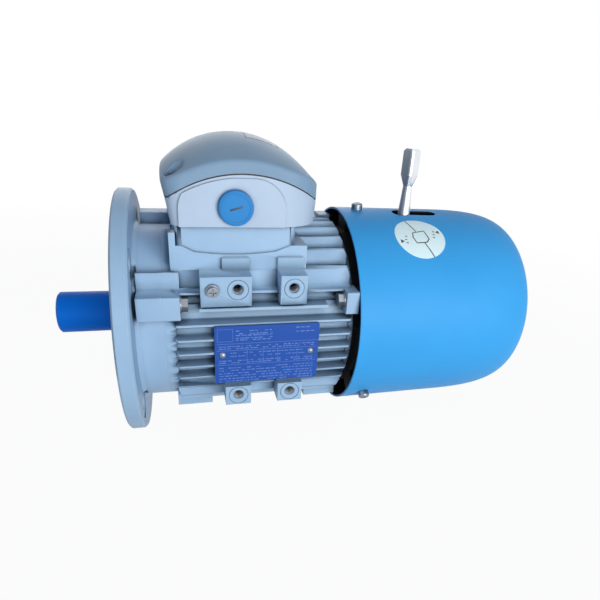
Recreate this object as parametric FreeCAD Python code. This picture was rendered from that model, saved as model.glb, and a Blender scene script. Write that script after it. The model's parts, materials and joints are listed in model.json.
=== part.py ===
import FreeCAD, Part
import math
import os

os.makedirs("parts", exist_ok=True)
V = FreeCAD.Vector

# A flange-mounted three-phase motor of the standard 90 size with a spring-applied disc brake.
# The origin is the centre of the flange's mounting face. The shaft runs along X and sticks out
# towards -X, the fan cowl lies towards +X, the terminal box stands up in +Z, and the name plate
# faces -Y. All lengths are in millimetres, all angles in degrees from +Y towards +Z.

# Mounting flange and drive-end shield
flange_d = 200.0
flange_t = 12.0
flange_edge = 1.5
bolt_circle_d = 165.0
bolt_hole_d = 11.5
bolt_count = 4
bolt_phase = 45.0
spot_face_depth = 0.8
spigot_d = 130.0
spigot_h = 3.5
spigot_rim = 8.0
front_recess = 4.0
hub_setback = 0.5
hub_rim = 6.0
hub_root = 9.0
shield_depth = 32.0
drum_r = 72.0
drum_root = 3.0
shield_wall = 9.0
register_len = 3.0
register_wall = 5.0
register_gap = 0.1
cavity_round = 3.0

# Corner lugs that take the long screws of both shields
lug_reach = 78.0
lug_low = 22.0
lug_high = 40.0
lug_step_reach = 61.5
lug_step_high = 53.0
lug_root = 60.0
lug_len_shield = 17.4
lug_len_housing = 12.3
lug_len_rear = 10.0
lug_screw_y = 69.5
lug_screw_z = 32.0
lug_turns = (0.0, 180.0, 270.0)
lug_edge = 1.2

# Finned housing
housing_len = 147.0
bore_r = 64.5
housing_wall = 4.0
collar_len = 7.0
rear_collar_len = 4.0
rear_collar_r = 69.5
fin_tip_r = 78.6
fin_front_gap = 0.4
fin_rear_gap = 3.3
fin_root_t = 3.4
fin_tip_t = 2.2
fin_corner = 3.0
fin_root_share = 0.55
side_fin_pitch = 11.24
side_fin_pairs = 4
top_fin_pitch = 12.64
top_fin_pairs = 5

# Foot pads and earth pad on the two sides
pad_reach = 77.5
pad_root = 54.0
pad_low = 32.0
pad_high = 54.5
foot_pad_low = 36.5
foot_pad_high = 53.0
pad_w = 20.0
pad_hole_x = 85.4
pad_hole_pitch = 41.5
pad_hole_z = 44.6
pad_hole_r = 3.4
pad_hole_depth = 16.0
pad_sink = 1.6
pad_ring_r = 7.75
pad_ring_w = 0.5
pad_ring_depth = 0.4
pad_stub_reach = 61.0
pad_stub_high = 63.0
earth_x = 67.3
earth_pad_w = 17.0
rail_x = 38.0
rail_len = 28.5
rail_y = 33.0
rail_w = 12.0
rail_reach = 70.5

# Pedestal and neck under the terminal box
pedestal_x = 38.8
pedestal_len = 89.0
pedestal_end = 12.0
pedestal_half = 57.5
pedestal_root = 40.0
pedestal_top = 71.5
pedestal_dip = 64.9
pedestal_shoulder = 67.0
pedestal_flank_x = 56.0
pedestal_flank_len = 60.0
pedestal_corner = 17.0
post_w = 4.5
post_t = 7.0
post_h = 9.5
ledge_w = 8.7
neck_x = 43.0
neck_len = 88.0
neck_half = 55.5
neck_corner = 5.0
neck_floor = 69.5
neck_wall = 5.0
neck_top = 85.3
window_len = 50.0
window_half = 20.0

# Terminal box
box_x = 34.3
box_len = 116.8
box_half = 57.5
box_foot_left = 6.6
box_waist_left = 4.0
box_top_left = -6.5
box_foot_right = 2.0
box_left_r = 16.0
box_right_r = 30.0
box_wall = 3.5
box_floor = 4.0
box_side_h = 36.5
seam_r = 90.0
gasket_t = 1.0
gasket_inset = 0.4
skirt_rise = 8.2
skirt_drop = 10.8
crown_left_drop = 2.8
crown_right_drop = 9.8
crown_share = 0.46
dome_rise = 23.5
dome_shares = (-1.0, -0.6, 0.0, 0.6, 1.0)
lid_wall = 3.0
lid_brim_r = 4.0
brim_slope = 0.9
panel_x = 46.5
panel_len = 75.5
panel_drop = 2.8
panel_corner = 22.0
panel_proud = 1.5
panel_gap = 2.5
entry_x = 86.0
entry_rise = 14.2
entry_r = 10.0
plug_r = 12.3
plug_head = 4.5
plug_shank = 8.0
plug_wall = 2.5
plug_web = 1.5
plug_edge = 1.0
thread_gap = 0.1
lid_screw_in = 10.8
lid_screw_far_in = 14.0
lid_screw_bite = 11.0
lid_screw_slot_w = 1.2
lid_screw_slot_h = 1.4
lid_screw_r = 2.5
lid_screw_head_r = 4.6
lid_screw_head_h = 3.0
scoop_r = 6.4
scoop_floor = 6.0
scoop_slant = 45.0
scoop_step = 0.3
scoop_wall = 2.0
boss_r = 6.0
base_screw_x = 19.0
base_screw_y = 12.0
base_screw_r = 2.5
base_screw_head_r = 4.5
base_screw_head_h = 3.0
base_screw_len = 14.0

# Terminal block and rectifier in the box
block_w = 52.0
block_d = 44.0
block_h = 9.0
stud_pitch = 17.0
stud_row = 20.0
stud_r = 2.0
stud_h = 14.0
stud_root = 6.0
rib_t = 2.0
rib_h = 4.0
nut_af = 7.0
nut_h = 3.2
link_w = 8.0
link_t = 1.2
rectifier_gap = 6.0
rectifier_d = 46.0
rectifier_h = 16.0
rectifier_set = 6.0
rectifier_edge = 1.5

# Shaft, keys and centre hole
shaft_d = 24.0
shaft_len = 50.0
journal_r = 12.5
body_r = 16.0
brake_shaft_r = 10.0
fan_shaft_r = 9.0
shaft_edge = 1.0
centre_hole_r = 3.4
centre_hole_depth = 19.0
key_w = 8.0
key_h = 7.0
key_len = 40.0
key_depth = 4.0
key_setback = 5.0
hub_key_w = 6.0
hub_key_h = 6.0
hub_key_depth = 3.5
hub_key_len = 14.0
sleeve_r = 16.7
sleeve_end_t = 2.2
sleeve_gap = 0.1
sleeve_key_gap = 0.2
sleeve_edge = 1.5
sleeve_setback = 4.3

# Ball bearings and shaft seal
bearing_r = 26.0
bearing_w = 15.0
bearing_x = 8.2
bearing_play = 0.3
inner_ring_r = 16.4
outer_ring_r = 22.2
ball_r = 3.95
ball_count = 8
ball_gap = 0.06
shield_disc_t = 0.4
shield_disc_in = 0.6
shield_disc_gap = 0.15
seal_r = 20.0
seal_w = 7.0
seal_gap = 0.2
seal_lip_gap = 0.06
preload_t = 0.9
circlip_t = 1.2
circlip_w = 2.4
circlip_bite = 1.0
circlip_gap = 0.05
circlip_open = 24.0

# Stator and rotor
core_x = 60.0
core_len = 90.0
air_gap = 0.4
rotor_r = 38.6
slot_count = 24
slot_w = 6.4
slot_depth = 14.0
slot_gap = 0.3
coil_head_len = 18.0
coil_head_out = 4.0
coil_head_neck = 4.0
coil_head_round = 3.0
end_ring_len = 7.0
end_ring_in = 12.0
cage_fin_len = 8.0
cage_fin_t = 2.5
cage_fin_set = 1.5
end_ring_set = 0.5
cage_fin_count = 12

# Rear shield
rear_plate_t = 11.0
rear_r = 71.5
rear_hub_wall = 7.5
rear_floor_t = 9.0
rear_lip = 3.5
rear_stop_t = 1.5
rear_reach = 85.0
rear_rim = 68.0
cowl_boss_w = 20.0
cowl_boss_len = 27.0
cowl_boss_in = 5.0

# Disc brake
brake_r = 64.0
disc_r = 52.0
disc_t = 4.0
lining_t = 2.0
lining_in_r = 33.0
disc_gap = 0.15
armature_r = 62.0
armature_t = 7.0
armature_bore_r = 23.0
brake_gap = 0.35
magnet_len = 25.0
magnet_bore_r = 21.0
pole_r = 34.0
coil_r = 52.0
coil_depth = 18.0
coil_gap = 0.4
coil_set = 1.0
hub_af = 30.0
hub_gap = 0.1
hub_len = 17.0
hub_front = 1.0
hub_edge = 0.8
brake_bolt_circle_r = 57.5
brake_bolt_count = 3
brake_bolt_r = 3.0
brake_bolt_bite = 8.0
brake_bolt_phase = 30.0
cap_head_r = 5.0
cap_head_h = 6.0
cap_socket_af = 5.0
cap_socket_depth = 3.0
sleeve_nut_r = 5.2
sleeve_nut_gap = 0.4
spring_count = 6
spring_circle_r = 28.0
spring_r = 3.6
spring_wire_r = 0.8
spring_turns = 3.0
spring_len = 12.0
spring_pocket_gap = 0.3
spring_phase = 60.0
spring_set = 0.5

# Hand release
release_stud_y = 44.0
release_stud_r = 2.5
release_stud_bite = 6.0
release_stud_end = 1.5
stud_hole_gap = 1.7
barrel_r = 7.4
barrel_gap = 0.12
barrel_len = 13.0
release_nut_af = 8.0
release_nut_h = 4.0
yoke_in_r = 39.0
yoke_out_r = 50.0
yoke_t = 8.0
lever_y = 8.0
lever_boss_r = 7.2
lever_boss_low = 40.0
lever_boss_high = 58.0
lever_socket_floor = 3.0
lever_socket_gap = 0.5
lever_throat_share = 0.98
lever_thread_r = 4.0
lever_foot_r = 7.0
lever_r = 3.9
lever_neck_z = 110.0
lever_grip_z = 119.0
lever_top_z = 140.0
grip_w = 11.5
grip_t = 12.5
grip_turn = 20.0
grip_corner = 3.0
grip_crown = 2.0

# Fan and cowl
fan_x = 290.0
fan_r = 72.0
fan_hub_r = 17.0
fan_hub_len = 24.0
fan_plate_t = 3.0
fan_plate_set = 2.0
fan_blade_count = 8
fan_blade_t = 2.6
fan_blade_h = 25.0
fan_blade_root = 14.0
fan_blade_rim_share = 0.75
fan_blade_out_share = 0.72
fan_blade_in_share = 0.42
shaft_tail = 4.0
fan_clip_t = 1.4
fan_clip_w = 3.0
cowl_r = 88.0
cowl_end_r = 87.3
cowl_wall = 1.6
cowl_len = 164.0
cowl_gap = 0.2
cowl_straight = 75.0
cowl_face_r = 58.0
cowl_power = 3.3
cowl_arc_points = 9
lever_slot_x = 227.0
lever_slot_len = 41.0
lever_slot_w = 11.0
lever_eye_r = 7.5
cowl_mouth_r = 52.0
grille_r = 56.0
grille_rings = 3
grille_first_r = 16.5
grille_pitch = 13.0
grille_slot_w = 7.0
grille_turn = 18.0
grille_slots = 10
grille_bridge = 9.0
cowl_screw_x = 17.5
cowl_screw_turns = (0.0, 132.0, 228.0)
cowl_screw_r = 2.4
cowl_screw_bite = 10.0
cowl_screw_head_r = 4.8
cowl_screw_head_h = 5.5
cowl_screw_round = 1.9
cross_arm = 2.6
cross_w = 1.2
cross_depth = 1.8

# Small fasteners and plate
screw_r = 3.0
screw_bite = 14.0
screw_head_af = 10.0
screw_head_h = 4.5
washer_r = 6.2
washer_t = 1.2
washer_seat_len = 13.6
hole_gap = 0.3
earth_head_r = 3.8
earth_head_h = 3.2
earth_washer_r = 4.9
earth_washer_t = 1.5
earth_screw_r = 2.4
earth_screw_len = 14.0
plate_x = 67.5
plate_w = 80.4
plate_h = 48.0
plate_mid_z = -7.0
plate_t = 0.8
plate_corner = 1.5
rivet_in = 6.0
rivet_r = 1.6
rivet_head_r = 2.6
rivet_head_h = 1.3
rivet_len = 5.0
rivet_boss_r = 4.5

# Stations along the shaft that the sizes above give
seam_x = shield_depth
rear_x = seam_x + housing_len
fin_x = seam_x + collar_len + fin_front_gap
fin_end_x = rear_x - fin_rear_gap
rear_bearing_x = rear_x - bearing_w + 8.0
face_x = rear_x + rear_plate_t
lining_x = face_x + disc_gap
seal_end = bearing_x - seal_gap
disc_x = lining_x + lining_t
armature_x = disc_x + disc_t + lining_t + disc_gap
magnet_x = armature_x + armature_t + brake_gap
magnet_end = magnet_x + magnet_len
barrel_x = magnet_end + barrel_gap + barrel_r
release_nut_x = barrel_x + barrel_r + barrel_gap
rear_end = rear_bearing_x + bearing_w
clip_x = fan_x + fan_hub_len
shaft_end = clip_x + shaft_tail
cowl_x = rear_x + cowl_gap
cowl_end = cowl_x + cowl_len
core_end = core_x + core_len
stator_bore_r = rotor_r + air_gap
wall_r = bore_r + housing_wall
neck_end = neck_x + neck_len
box_end = box_x + box_len
box_mid_x = box_x + box_len / 2
neck_mid_x = neck_x + neck_len / 2
seam_mid = neck_top + box_side_h
entry_z = neck_top + entry_rise
skirt_mid = seam_mid + skirt_rise
skirt_end = seam_mid - skirt_drop
crown_left = seam_mid - crown_left_drop
crown_right = seam_mid - crown_right_drop
crown_x = box_x + crown_share * box_len
dome_mid = seam_mid + dome_rise
panel_top = seam_mid - panel_drop
pad_xs = (pad_hole_x, pad_hole_x + pad_hole_pitch)


def cyl(x0, x1, radius):
    """Solid cylinder about the shaft axis."""
    return Part.makeCylinder(radius, x1 - x0, V(x0, 0, 0), V(1, 0, 0))


def tube(x0, x1, outer, inner):
    """Straight ring about the shaft axis."""
    return cyl(x0, x1, outer).cut(cyl(x0, x1, inner))


def rod(start, direction, radius, length):
    """Cylinder from a start point along a direction."""
    return Part.makeCylinder(radius, length, start, direction)


def block(x0, x1, y0, y1, z0, z1):
    """Box between two corners."""
    return Part.makeBox(x1 - x0, y1 - y0, z1 - z0, V(x0, y0, z0))


def turned(profile):
    """Solid turned about the shaft axis from (x, radius) corners."""
    corners = [V(x, 0, r) for x, r in profile]
    face = Part.Face(Part.makePolygon(corners + corners[:1]))
    return face.revolve(V(0, 0, 0), V(1, 0, 0), 360)


def polar(radius, angle):
    """The (y, z) of a point at a radius and an angle from +Y towards +Z."""
    a = math.radians(angle)
    return radius * math.cos(a), radius * math.sin(a)


def turn_copy(shape, angle):
    """Copy of a shape turned about the shaft axis."""
    copy = shape.copy()
    copy.rotate(V(0, 0, 0), V(1, 0, 0), angle)
    return copy


def spread(shape, count, start=0.0):
    """Copies of a shape evenly about the shaft axis."""
    return [turn_copy(shape, start + 360.0 * i / count) for i in range(count)]


def union(shapes):
    """One shape out of several that touch or overlap."""
    first, *rest = shapes
    return first.fuse(rest).removeSplitter() if rest else first


def extruded(corners, move):
    """Solid swept from a flat polygon."""
    return Part.Face(Part.makePolygon(corners + corners[:1])).extrude(move)


def hex_bar(x0, x1, across_flats):
    """Hexagonal bar about the shaft axis."""
    radius = across_flats / math.sqrt(3)
    corners = [V(x0, *polar(radius, 60 * i)) for i in range(6)]
    return extruded(corners, V(x1 - x0, 0, 0))


def moved(shape, x=0.0, y=0.0, z=0.0):
    """Copy of a shape, shifted."""
    copy = shape.copy()
    copy.translate(V(x, y, z))
    return copy


def mirrored_y(shape):
    """Copy of a shape on the other side of the motor."""
    return shape.mirror(V(0, 0, 0), V(0, 1, 0))


def save(name, shapes):
    """Write the solids of one sub-part."""
    solids = [solid for shape in shapes for solid in shape.Solids]
    whole = solids[0] if len(solids) == 1 else Part.makeCompound(solids)
    whole.exportStep("parts/" + name + ".step")


def soften(shape, radius, direction=None):
    """Round the straight edges, or only those along a direction."""
    edges = []
    for edge in shape.Edges:
        along = edge.tangentAt(edge.FirstParameter)
        if direction is None or abs(along.dot(direction)) > 0.99:
            edges.append(edge)
    return shape.makeFillet(radius, edges)


def corner_lugs(x0, x1):
    """Lugs on three quarters of the motor; the fourth is left to the bottom rails."""
    lug = soften(block(x0, x1, -lug_reach, -lug_root, lug_low, lug_high), lug_edge, V(1, 0, 0))
    return [turn_copy(lug, turn) for turn in lug_turns]


def lug_steps(x0, x1):
    """Lower steps over the lugs of the drive end."""
    step = block(x0, x1, -lug_step_reach, -lug_root + lug_edge, lug_high - lug_edge, lug_step_high)
    return [turn_copy(step, turn) for turn in lug_turns]


def lug_screw_places():
    """Centres of the shield screws in the YZ plane."""
    radius = math.hypot(lug_screw_y, lug_screw_z)
    first = math.degrees(math.atan2(lug_screw_z, -lug_screw_y))
    return [polar(radius, first + turn) for turn in lug_turns]


def drive_end_shield():
    """Flange, spigot, drum and bearing seat in one casting."""
    flange_r = flange_d / 2
    spigot_r = spigot_d / 2
    hub_r = bearing_r + shield_wall - 1
    cavity_r = bore_r - register_wall
    register_r = bore_r - register_gap
    floor_x = front_recess + shield_wall
    seat_end = bearing_x + bearing_w + bearing_play
    body = turned([
        (flange_edge, seal_r), (hub_setback, seal_r + 1), (hub_setback, seal_r + hub_rim),
        (front_recess, seal_r + hub_root), (front_recess, spigot_r - spigot_rim - front_recess),
        (-spigot_h, spigot_r - spigot_rim),
        (-spigot_h, spigot_r - 1), (1 - spigot_h, spigot_r), (0, spigot_r),
        (0, flange_r - flange_edge), (flange_edge, flange_r), (flange_t - flange_edge, flange_r),
        (flange_t, flange_r - flange_edge), (flange_t, drum_r + drum_root),
        (flange_t + drum_root, drum_r), (seam_x, drum_r), (seam_x, register_r),
        (seam_x + register_len, register_r), (seam_x + register_len, cavity_r),
        (floor_x + cavity_round, cavity_r - 2), (floor_x, cavity_r - 2 * cavity_round), (floor_x, hub_r + 2),
        (seat_end, hub_r), (seat_end, bearing_r), (seal_end, bearing_r), (seal_end, seal_r)])
    lug_x = seam_x - lug_len_shield
    body = union([body] + corner_lugs(lug_x, seam_x) + lug_steps(lug_x, seam_x))
    hole_r = bolt_hole_d / 2
    y, z = polar(bolt_circle_d / 2, bolt_phase)
    bolt_hole = rod(V(-1, y, z), V(1, 0, 0), hole_r, flange_t + 2)
    spot_face = rod(V(flange_t - spot_face_depth, y, z), V(1, 0, 0), bolt_hole_d, drum_root)
    cuts = spread(bolt_hole, bolt_count) + spread(spot_face, bolt_count)
    for y, z in lug_screw_places():
        cuts.append(rod(V(seam_x - screw_bite - 1, y, z), V(1, 0, 0), screw_r, screw_bite + 1))
    return body.cut(cuts)


def fin_face(outline, turn):
    """Flat section of one fin, turned to its side of the housing."""
    corners = [V(0, y, z) for y, z in outline]
    face = Part.Face(Part.makePolygon(corners + corners[:1]))
    face.rotate(V(0, 0, 0), V(1, 0, 0), turn)
    return face


def fin_faces(pitch, pairs, quarter):
    """Sections of the parallel fins on two opposite sides."""
    faces = []
    inner = bore_r * fin_root_share
    for i in range(pairs):
        for offset in (pitch * (i + 0.5), -pitch * (i + 0.5)):
            outline = [(inner, offset - fin_root_t / 2), (fin_tip_r, offset - fin_tip_t / 2),
                       (fin_tip_r, offset + fin_tip_t / 2), (inner, offset + fin_root_t / 2)]
            faces.append(fin_face(outline, quarter))
            faces.append(fin_face(outline, quarter + 180))
    return faces


def disc_face(radius):
    """Flat disc across the shaft axis."""
    return Part.Face(Part.Wire(Part.makeCircle(radius, V(0, 0, 0), V(1, 0, 0))))


def finned_tube():
    """Cooling fins and wall as one section, drawn along the shaft."""
    fins = fin_faces(side_fin_pitch, side_fin_pairs, 0) + fin_faces(top_fin_pitch, top_fin_pairs, 90)
    section = fins[0].fuse(fins[1:]).common(disc_face(fin_tip_r)).fuse(disc_face(wall_r)).removeSplitter()
    section.translate(V(fin_x, 0, 0))
    finned = section.extrude(V(fin_end_x - fin_x, 0, 0))
    rounded = turned([(fin_x - 1, 0), (fin_x - 1, fin_tip_r - fin_corner), (fin_x, fin_tip_r - fin_corner),
                      (fin_x + fin_corner, fin_tip_r + 1), (fin_end_x - fin_corner, fin_tip_r + 1),
                      (fin_end_x, fin_tip_r - fin_corner), (fin_end_x + 1, fin_tip_r - fin_corner),
                      (fin_end_x + 1, 0)])
    return finned.common(rounded)


def foot_pads():
    """Pads for bolted feet on both sides, with the earth pad beside one of them."""
    pads = []
    for x in pad_xs:
        x0, x1 = x - pad_w / 2, x + pad_w / 2
        for low, high in ((pad_low, pad_high), (-foot_pad_high, -foot_pad_low)):
            pads.append(block(x0, x1, -pad_reach, -pad_root, low, high))
        pads.append(block(x0, x1, -pad_stub_reach, -pad_root, pad_high - 1, pad_stub_high))
    both = pads + [mirrored_y(pad) for pad in pads]
    both.append(block(earth_x - earth_pad_w / 2, pad_xs[0], -pad_reach, -pad_root, pad_low, pad_high))
    return both


def bottom_rails():
    """Four short rails under the corners of the housing."""
    rails = []
    for x0, x1 in ((rail_x, rail_x + rail_len), (fin_end_x - rail_len, fin_end_x)):
        rail = block(x0, x1, -rail_y - rail_w, -rail_y, -rail_reach, -pad_root)
        rails += [rail, mirrored_y(rail)]
    return rails


def pedestal_side():
    """Outline of the pedestal seen from the side: a saddle with one round lower corner."""
    x0, x1 = pedestal_x, pedestal_x + pedestal_len + pedestal_end
    y = -pedestal_half
    flank_end = pedestal_flank_x + pedestal_flank_len
    saddle = Part.Arc(V(pedestal_flank_x, y, pedestal_shoulder),
                      V(pedestal_flank_x + pedestal_flank_len / 2, y, pedestal_dip),
                      V(flank_end, y, pedestal_shoulder)).toShape()
    round_part = pedestal_corner * (1 - math.sqrt(0.5))
    corner = Part.Arc(V(x0 + pedestal_corner, y, pedestal_root),
                      V(x0 + round_part, y, pedestal_root + round_part),
                      V(x0, y, pedestal_root + pedestal_corner)).toShape()
    left = Part.makePolygon([V(x0, y, pedestal_root + pedestal_corner), V(x0, y, pedestal_top),
                             V(x0 + ledge_w, y, pedestal_top), V(pedestal_flank_x, y, pedestal_shoulder)])
    right = Part.makePolygon([V(flank_end, y, pedestal_shoulder), V(x1 - pedestal_end, y, pedestal_top),
                              V(x1, y, pedestal_top), V(x1, y, pedestal_root),
                              V(x0 + pedestal_corner, y, pedestal_root)])
    return Part.Wire(left.Edges + [saddle] + right.Edges + [corner])


def pedestal():
    """Raised seat of the terminal box, with its neck and the posts beside it."""
    seat = Part.Face(pedestal_side()).extrude(V(0, 2 * pedestal_half, 0))
    neck = block(neck_x, neck_end, -neck_half, neck_half, pedestal_root, neck_top)
    neck = soften(neck, neck_corner, V(0, 0, 1))
    post = block(pedestal_x, pedestal_x + post_w, -pedestal_half, post_t - pedestal_half,
                 pedestal_top - 1, pedestal_top + post_h)
    return [seat, neck, post, mirrored_y(post)]


def motor_housing():
    """Finned aluminium housing between the two shields."""
    solids = [finned_tube(), cyl(seam_x, fin_x + 1, drum_r),
              cyl(fin_end_x - 1, rear_x - rear_collar_len + 1, wall_r),
              cyl(rear_x - rear_collar_len, rear_x, rear_collar_r)]
    solids += foot_pads() + bottom_rails() + pedestal()
    lug_end = seam_x + lug_len_housing
    solids += corner_lugs(seam_x, lug_end) + lug_steps(seam_x, lug_end)
    solids += corner_lugs(rear_x - lug_len_rear, rear_x)
    plate_y = -fin_tip_r
    for x in (plate_x + rivet_in, plate_x + plate_w - rivet_in):
        solids.append(rod(V(x, plate_y, plate_mid_z), V(0, 1, 0), rivet_boss_r, fin_tip_r - bore_r - 1))
    body = union(solids)
    cuts = [cyl(seam_x - 1, rear_x + 1, bore_r)]
    cuts.append(block(neck_mid_x - window_len / 2, neck_mid_x + window_len / 2,
                      -window_half, window_half, 0, neck_top))
    cuts.append(block(neck_x + neck_wall, neck_end - neck_wall, neck_wall - neck_half,
                      neck_half - neck_wall, neck_floor, neck_top + 1))
    cuts += pad_holes() + housing_screw_holes()
    return body.cut(cuts)


def pad_holes():
    """Countersunk tapped holes of the foot pads with a ring round each, and the earth screw's hole."""
    cuts = []
    for side in (-1, 1):
        face_y = side * pad_reach
        inward = V(0, -side, 0)
        for x in pad_xs:
            for z in (-pad_hole_z, pad_hole_z):
                cuts.append(rod(V(x, face_y, z), inward, pad_hole_r, pad_hole_depth))
                cuts.append(Part.makeCone(pad_hole_r + pad_sink, pad_hole_r, pad_sink,
                                          V(x, face_y, z), inward))
                ring = rod(V(x, face_y, z), inward, pad_ring_r, pad_ring_depth)
                cuts.append(ring.cut(rod(V(x, face_y, z), inward, pad_ring_r - pad_ring_w, pad_ring_depth)))
    cuts.append(rod(V(earth_x, -pad_reach, pad_hole_z), V(0, 1, 0), earth_screw_r, earth_screw_len))
    return cuts


def housing_screw_holes():
    """Clearance holes of the shield screws, box screws and rivets."""
    cuts = []
    through = screw_r + hole_gap
    for y, z in lug_screw_places():
        cuts.append(rod(V(seam_x - 1, y, z), V(1, 0, 0), through, lug_len_housing + 2))
        cuts.append(rod(V(rear_x - lug_len_rear - 1, y, z), V(1, 0, 0), through, lug_len_rear + 2))
        for x0 in (seam_x + lug_len_housing, rear_x - lug_len_rear - washer_seat_len):
            cuts.append(rod(V(x0, y, z), V(1, 0, 0), washer_r + hole_gap, washer_seat_len))
    for x, y in base_screw_places():
        cuts.append(rod(V(x, y, neck_top + 1), V(0, 0, -1), base_screw_r, base_screw_len))
    for x in (plate_x + rivet_in, plate_x + plate_w - rivet_in):
        cuts.append(rod(V(x, -fin_tip_r, plate_mid_z), V(0, 1, 0), rivet_r, rivet_len))
    return cuts


def shield_screws(head_x, toward):
    """Four hexagon screws with washers; toward is the direction of the threads along X."""
    solids = []
    washer = tube(head_x, head_x + washer_t, washer_r, screw_r)
    head = hex_bar(head_x + washer_t, head_x + washer_t + screw_head_h, screw_head_af)
    shank = cyl(head_x - lug_len_housing - screw_bite + 1, head_x + washer_t + 1, screw_r)
    if toward > 0:
        washer = tube(head_x - washer_t, head_x, washer_r, screw_r)
        head = hex_bar(head_x - washer_t - screw_head_h, head_x - washer_t, screw_head_af)
        shank = cyl(head_x - washer_t - 1, head_x + lug_len_rear + rear_plate_t - 2, screw_r)
    screw = union([head, shank])
    for y, z in lug_screw_places():
        solids += [moved(washer, y=y, z=z), moved(screw, y=y, z=z)]
    return solids


def rear_shield():
    """Rear casting: bearing seat on one side, friction face of the brake on the other."""
    hub_r = bearing_r + rear_hub_wall
    floor_x = face_x - rear_floor_t
    seat_x = rear_bearing_x
    stop_x = seat_x - rear_stop_t
    groove_x = seat_x + bearing_w
    register_r = bore_r - register_gap
    cavity_r = bore_r - register_wall
    body = turned([
        (stop_x, bearing_r - rear_lip), (stop_x, hub_r), (floor_x, hub_r + 2),
        (floor_x, cavity_r - 2), (rear_x - register_len, cavity_r), (rear_x - register_len, register_r),
        (rear_x, register_r), (rear_x, rear_r), (face_x - 1, rear_r), (face_x, rear_r - 1),
        (face_x, bearing_r), (groove_x + circlip_t + 2 * circlip_gap, bearing_r),
        (groove_x + circlip_t + 2 * circlip_gap, bearing_r + circlip_bite + circlip_gap),
        (groove_x, bearing_r + circlip_bite + circlip_gap), (groove_x, bearing_r),
        (seat_x - preload_t, bearing_r), (seat_x - preload_t, bearing_r - rear_lip)])
    boss = block(rear_x + cowl_boss_in, rear_x + cowl_boss_len, -cowl_boss_w / 2, cowl_boss_w / 2,
                 rear_rim - 1, cowl_r)
    lugs = corner_lugs(rear_x, face_x)
    reach = turned([(rear_x, 0), (rear_x, rear_reach), (face_x, rear_reach), (face_x, 0)])
    inside = turned(cowl_profile(cowl_wall))
    solids = [body] + [lug.common(reach) for lug in lugs]
    solids += [turn_copy(boss.common(inside), turn) for turn in cowl_screw_turns]
    body = union(solids)
    cuts = [cyl(face_x, magnet_end, rear_rim)]
    for y, z in lug_screw_places():
        cuts.append(rod(V(rear_x - 1, y, z), V(1, 0, 0), screw_r, rear_plate_t + 2))
    for y, z in brake_bolt_places():
        cuts.append(rod(V(face_x - brake_bolt_bite, y, z), V(1, 0, 0), brake_bolt_r, brake_bolt_bite + 1))
    screw_hole = rod(V(cowl_x + cowl_screw_x, 0, cowl_r), V(0, 0, -1), cowl_screw_r, cowl_screw_bite + 1)
    cuts += [turn_copy(screw_hole, turn) for turn in cowl_screw_turns]
    return body.cut(cuts)


def brake_bolt_places():
    """Centres of the brake's fixing bolts in the YZ plane."""
    step = 360.0 / brake_bolt_count
    return [polar(brake_bolt_circle_r, brake_bolt_phase + step * i) for i in range(brake_bolt_count)]


def ring_with_race(x0, outer, inner):
    """Bearing ring with a groove for the balls."""
    pitch = (inner_ring_r + outer_ring_r) / 2
    race = Part.makeTorus(pitch, ball_r + ball_gap, V(x0 + bearing_w / 2, 0, 0), V(1, 0, 0))
    return tube(x0, x0 + bearing_w, outer, inner).cut(race)


def bearing_balls(x0):
    """Balls between the two rings of a bearing."""
    y, z = polar((inner_ring_r + outer_ring_r) / 2, 90)
    return spread(Part.makeSphere(ball_r, V(x0 + bearing_w / 2, y, z)), ball_count)


def bearing_shields():
    """Thin cover discs on both sides of both bearings."""
    discs = []
    for x0 in (bearing_x, rear_bearing_x):
        for x in (x0 + shield_disc_in, x0 + bearing_w - shield_disc_in - shield_disc_t):
            discs.append(tube(x, x + shield_disc_t, outer_ring_r, inner_ring_r + shield_disc_gap))
    return discs


def open_ring(x0, thickness, outer, inner):
    """Spring ring with a gap at the top."""
    ring = tube(x0, x0 + thickness, outer, inner)
    y, z = polar(outer * 2, 90 - circlip_open / 2)
    gap = extruded([V(x0 - 1, 0, 0), V(x0 - 1, y, z), V(x0 - 1, -y, z)], V(thickness + 2, 0, 0))
    return ring.cut(gap)


def key_bar(x0, x1, width, bottom, height):
    """Parallel key with round ends, lying along the top of the shaft."""
    radius = width / 2
    middle = block(x0 + radius, x1 - radius, -radius, radius, bottom, bottom + height)
    ends = [rod(V(x, 0, bottom), V(0, 0, 1), radius, height) for x in (x0 + radius, x1 - radius)]
    return union([middle] + ends)


def shaft_key():
    """Key of the output shaft."""
    x1 = -key_setback
    return key_bar(x1 - key_len, x1, key_w, shaft_d / 2 - key_depth, key_h)


def hub_key():
    """Key of the brake hub."""
    x0 = face_x + hub_front
    return key_bar(x0, x0 + hub_key_len, hub_key_w, brake_shaft_r - hub_key_depth, hub_key_h)


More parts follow.
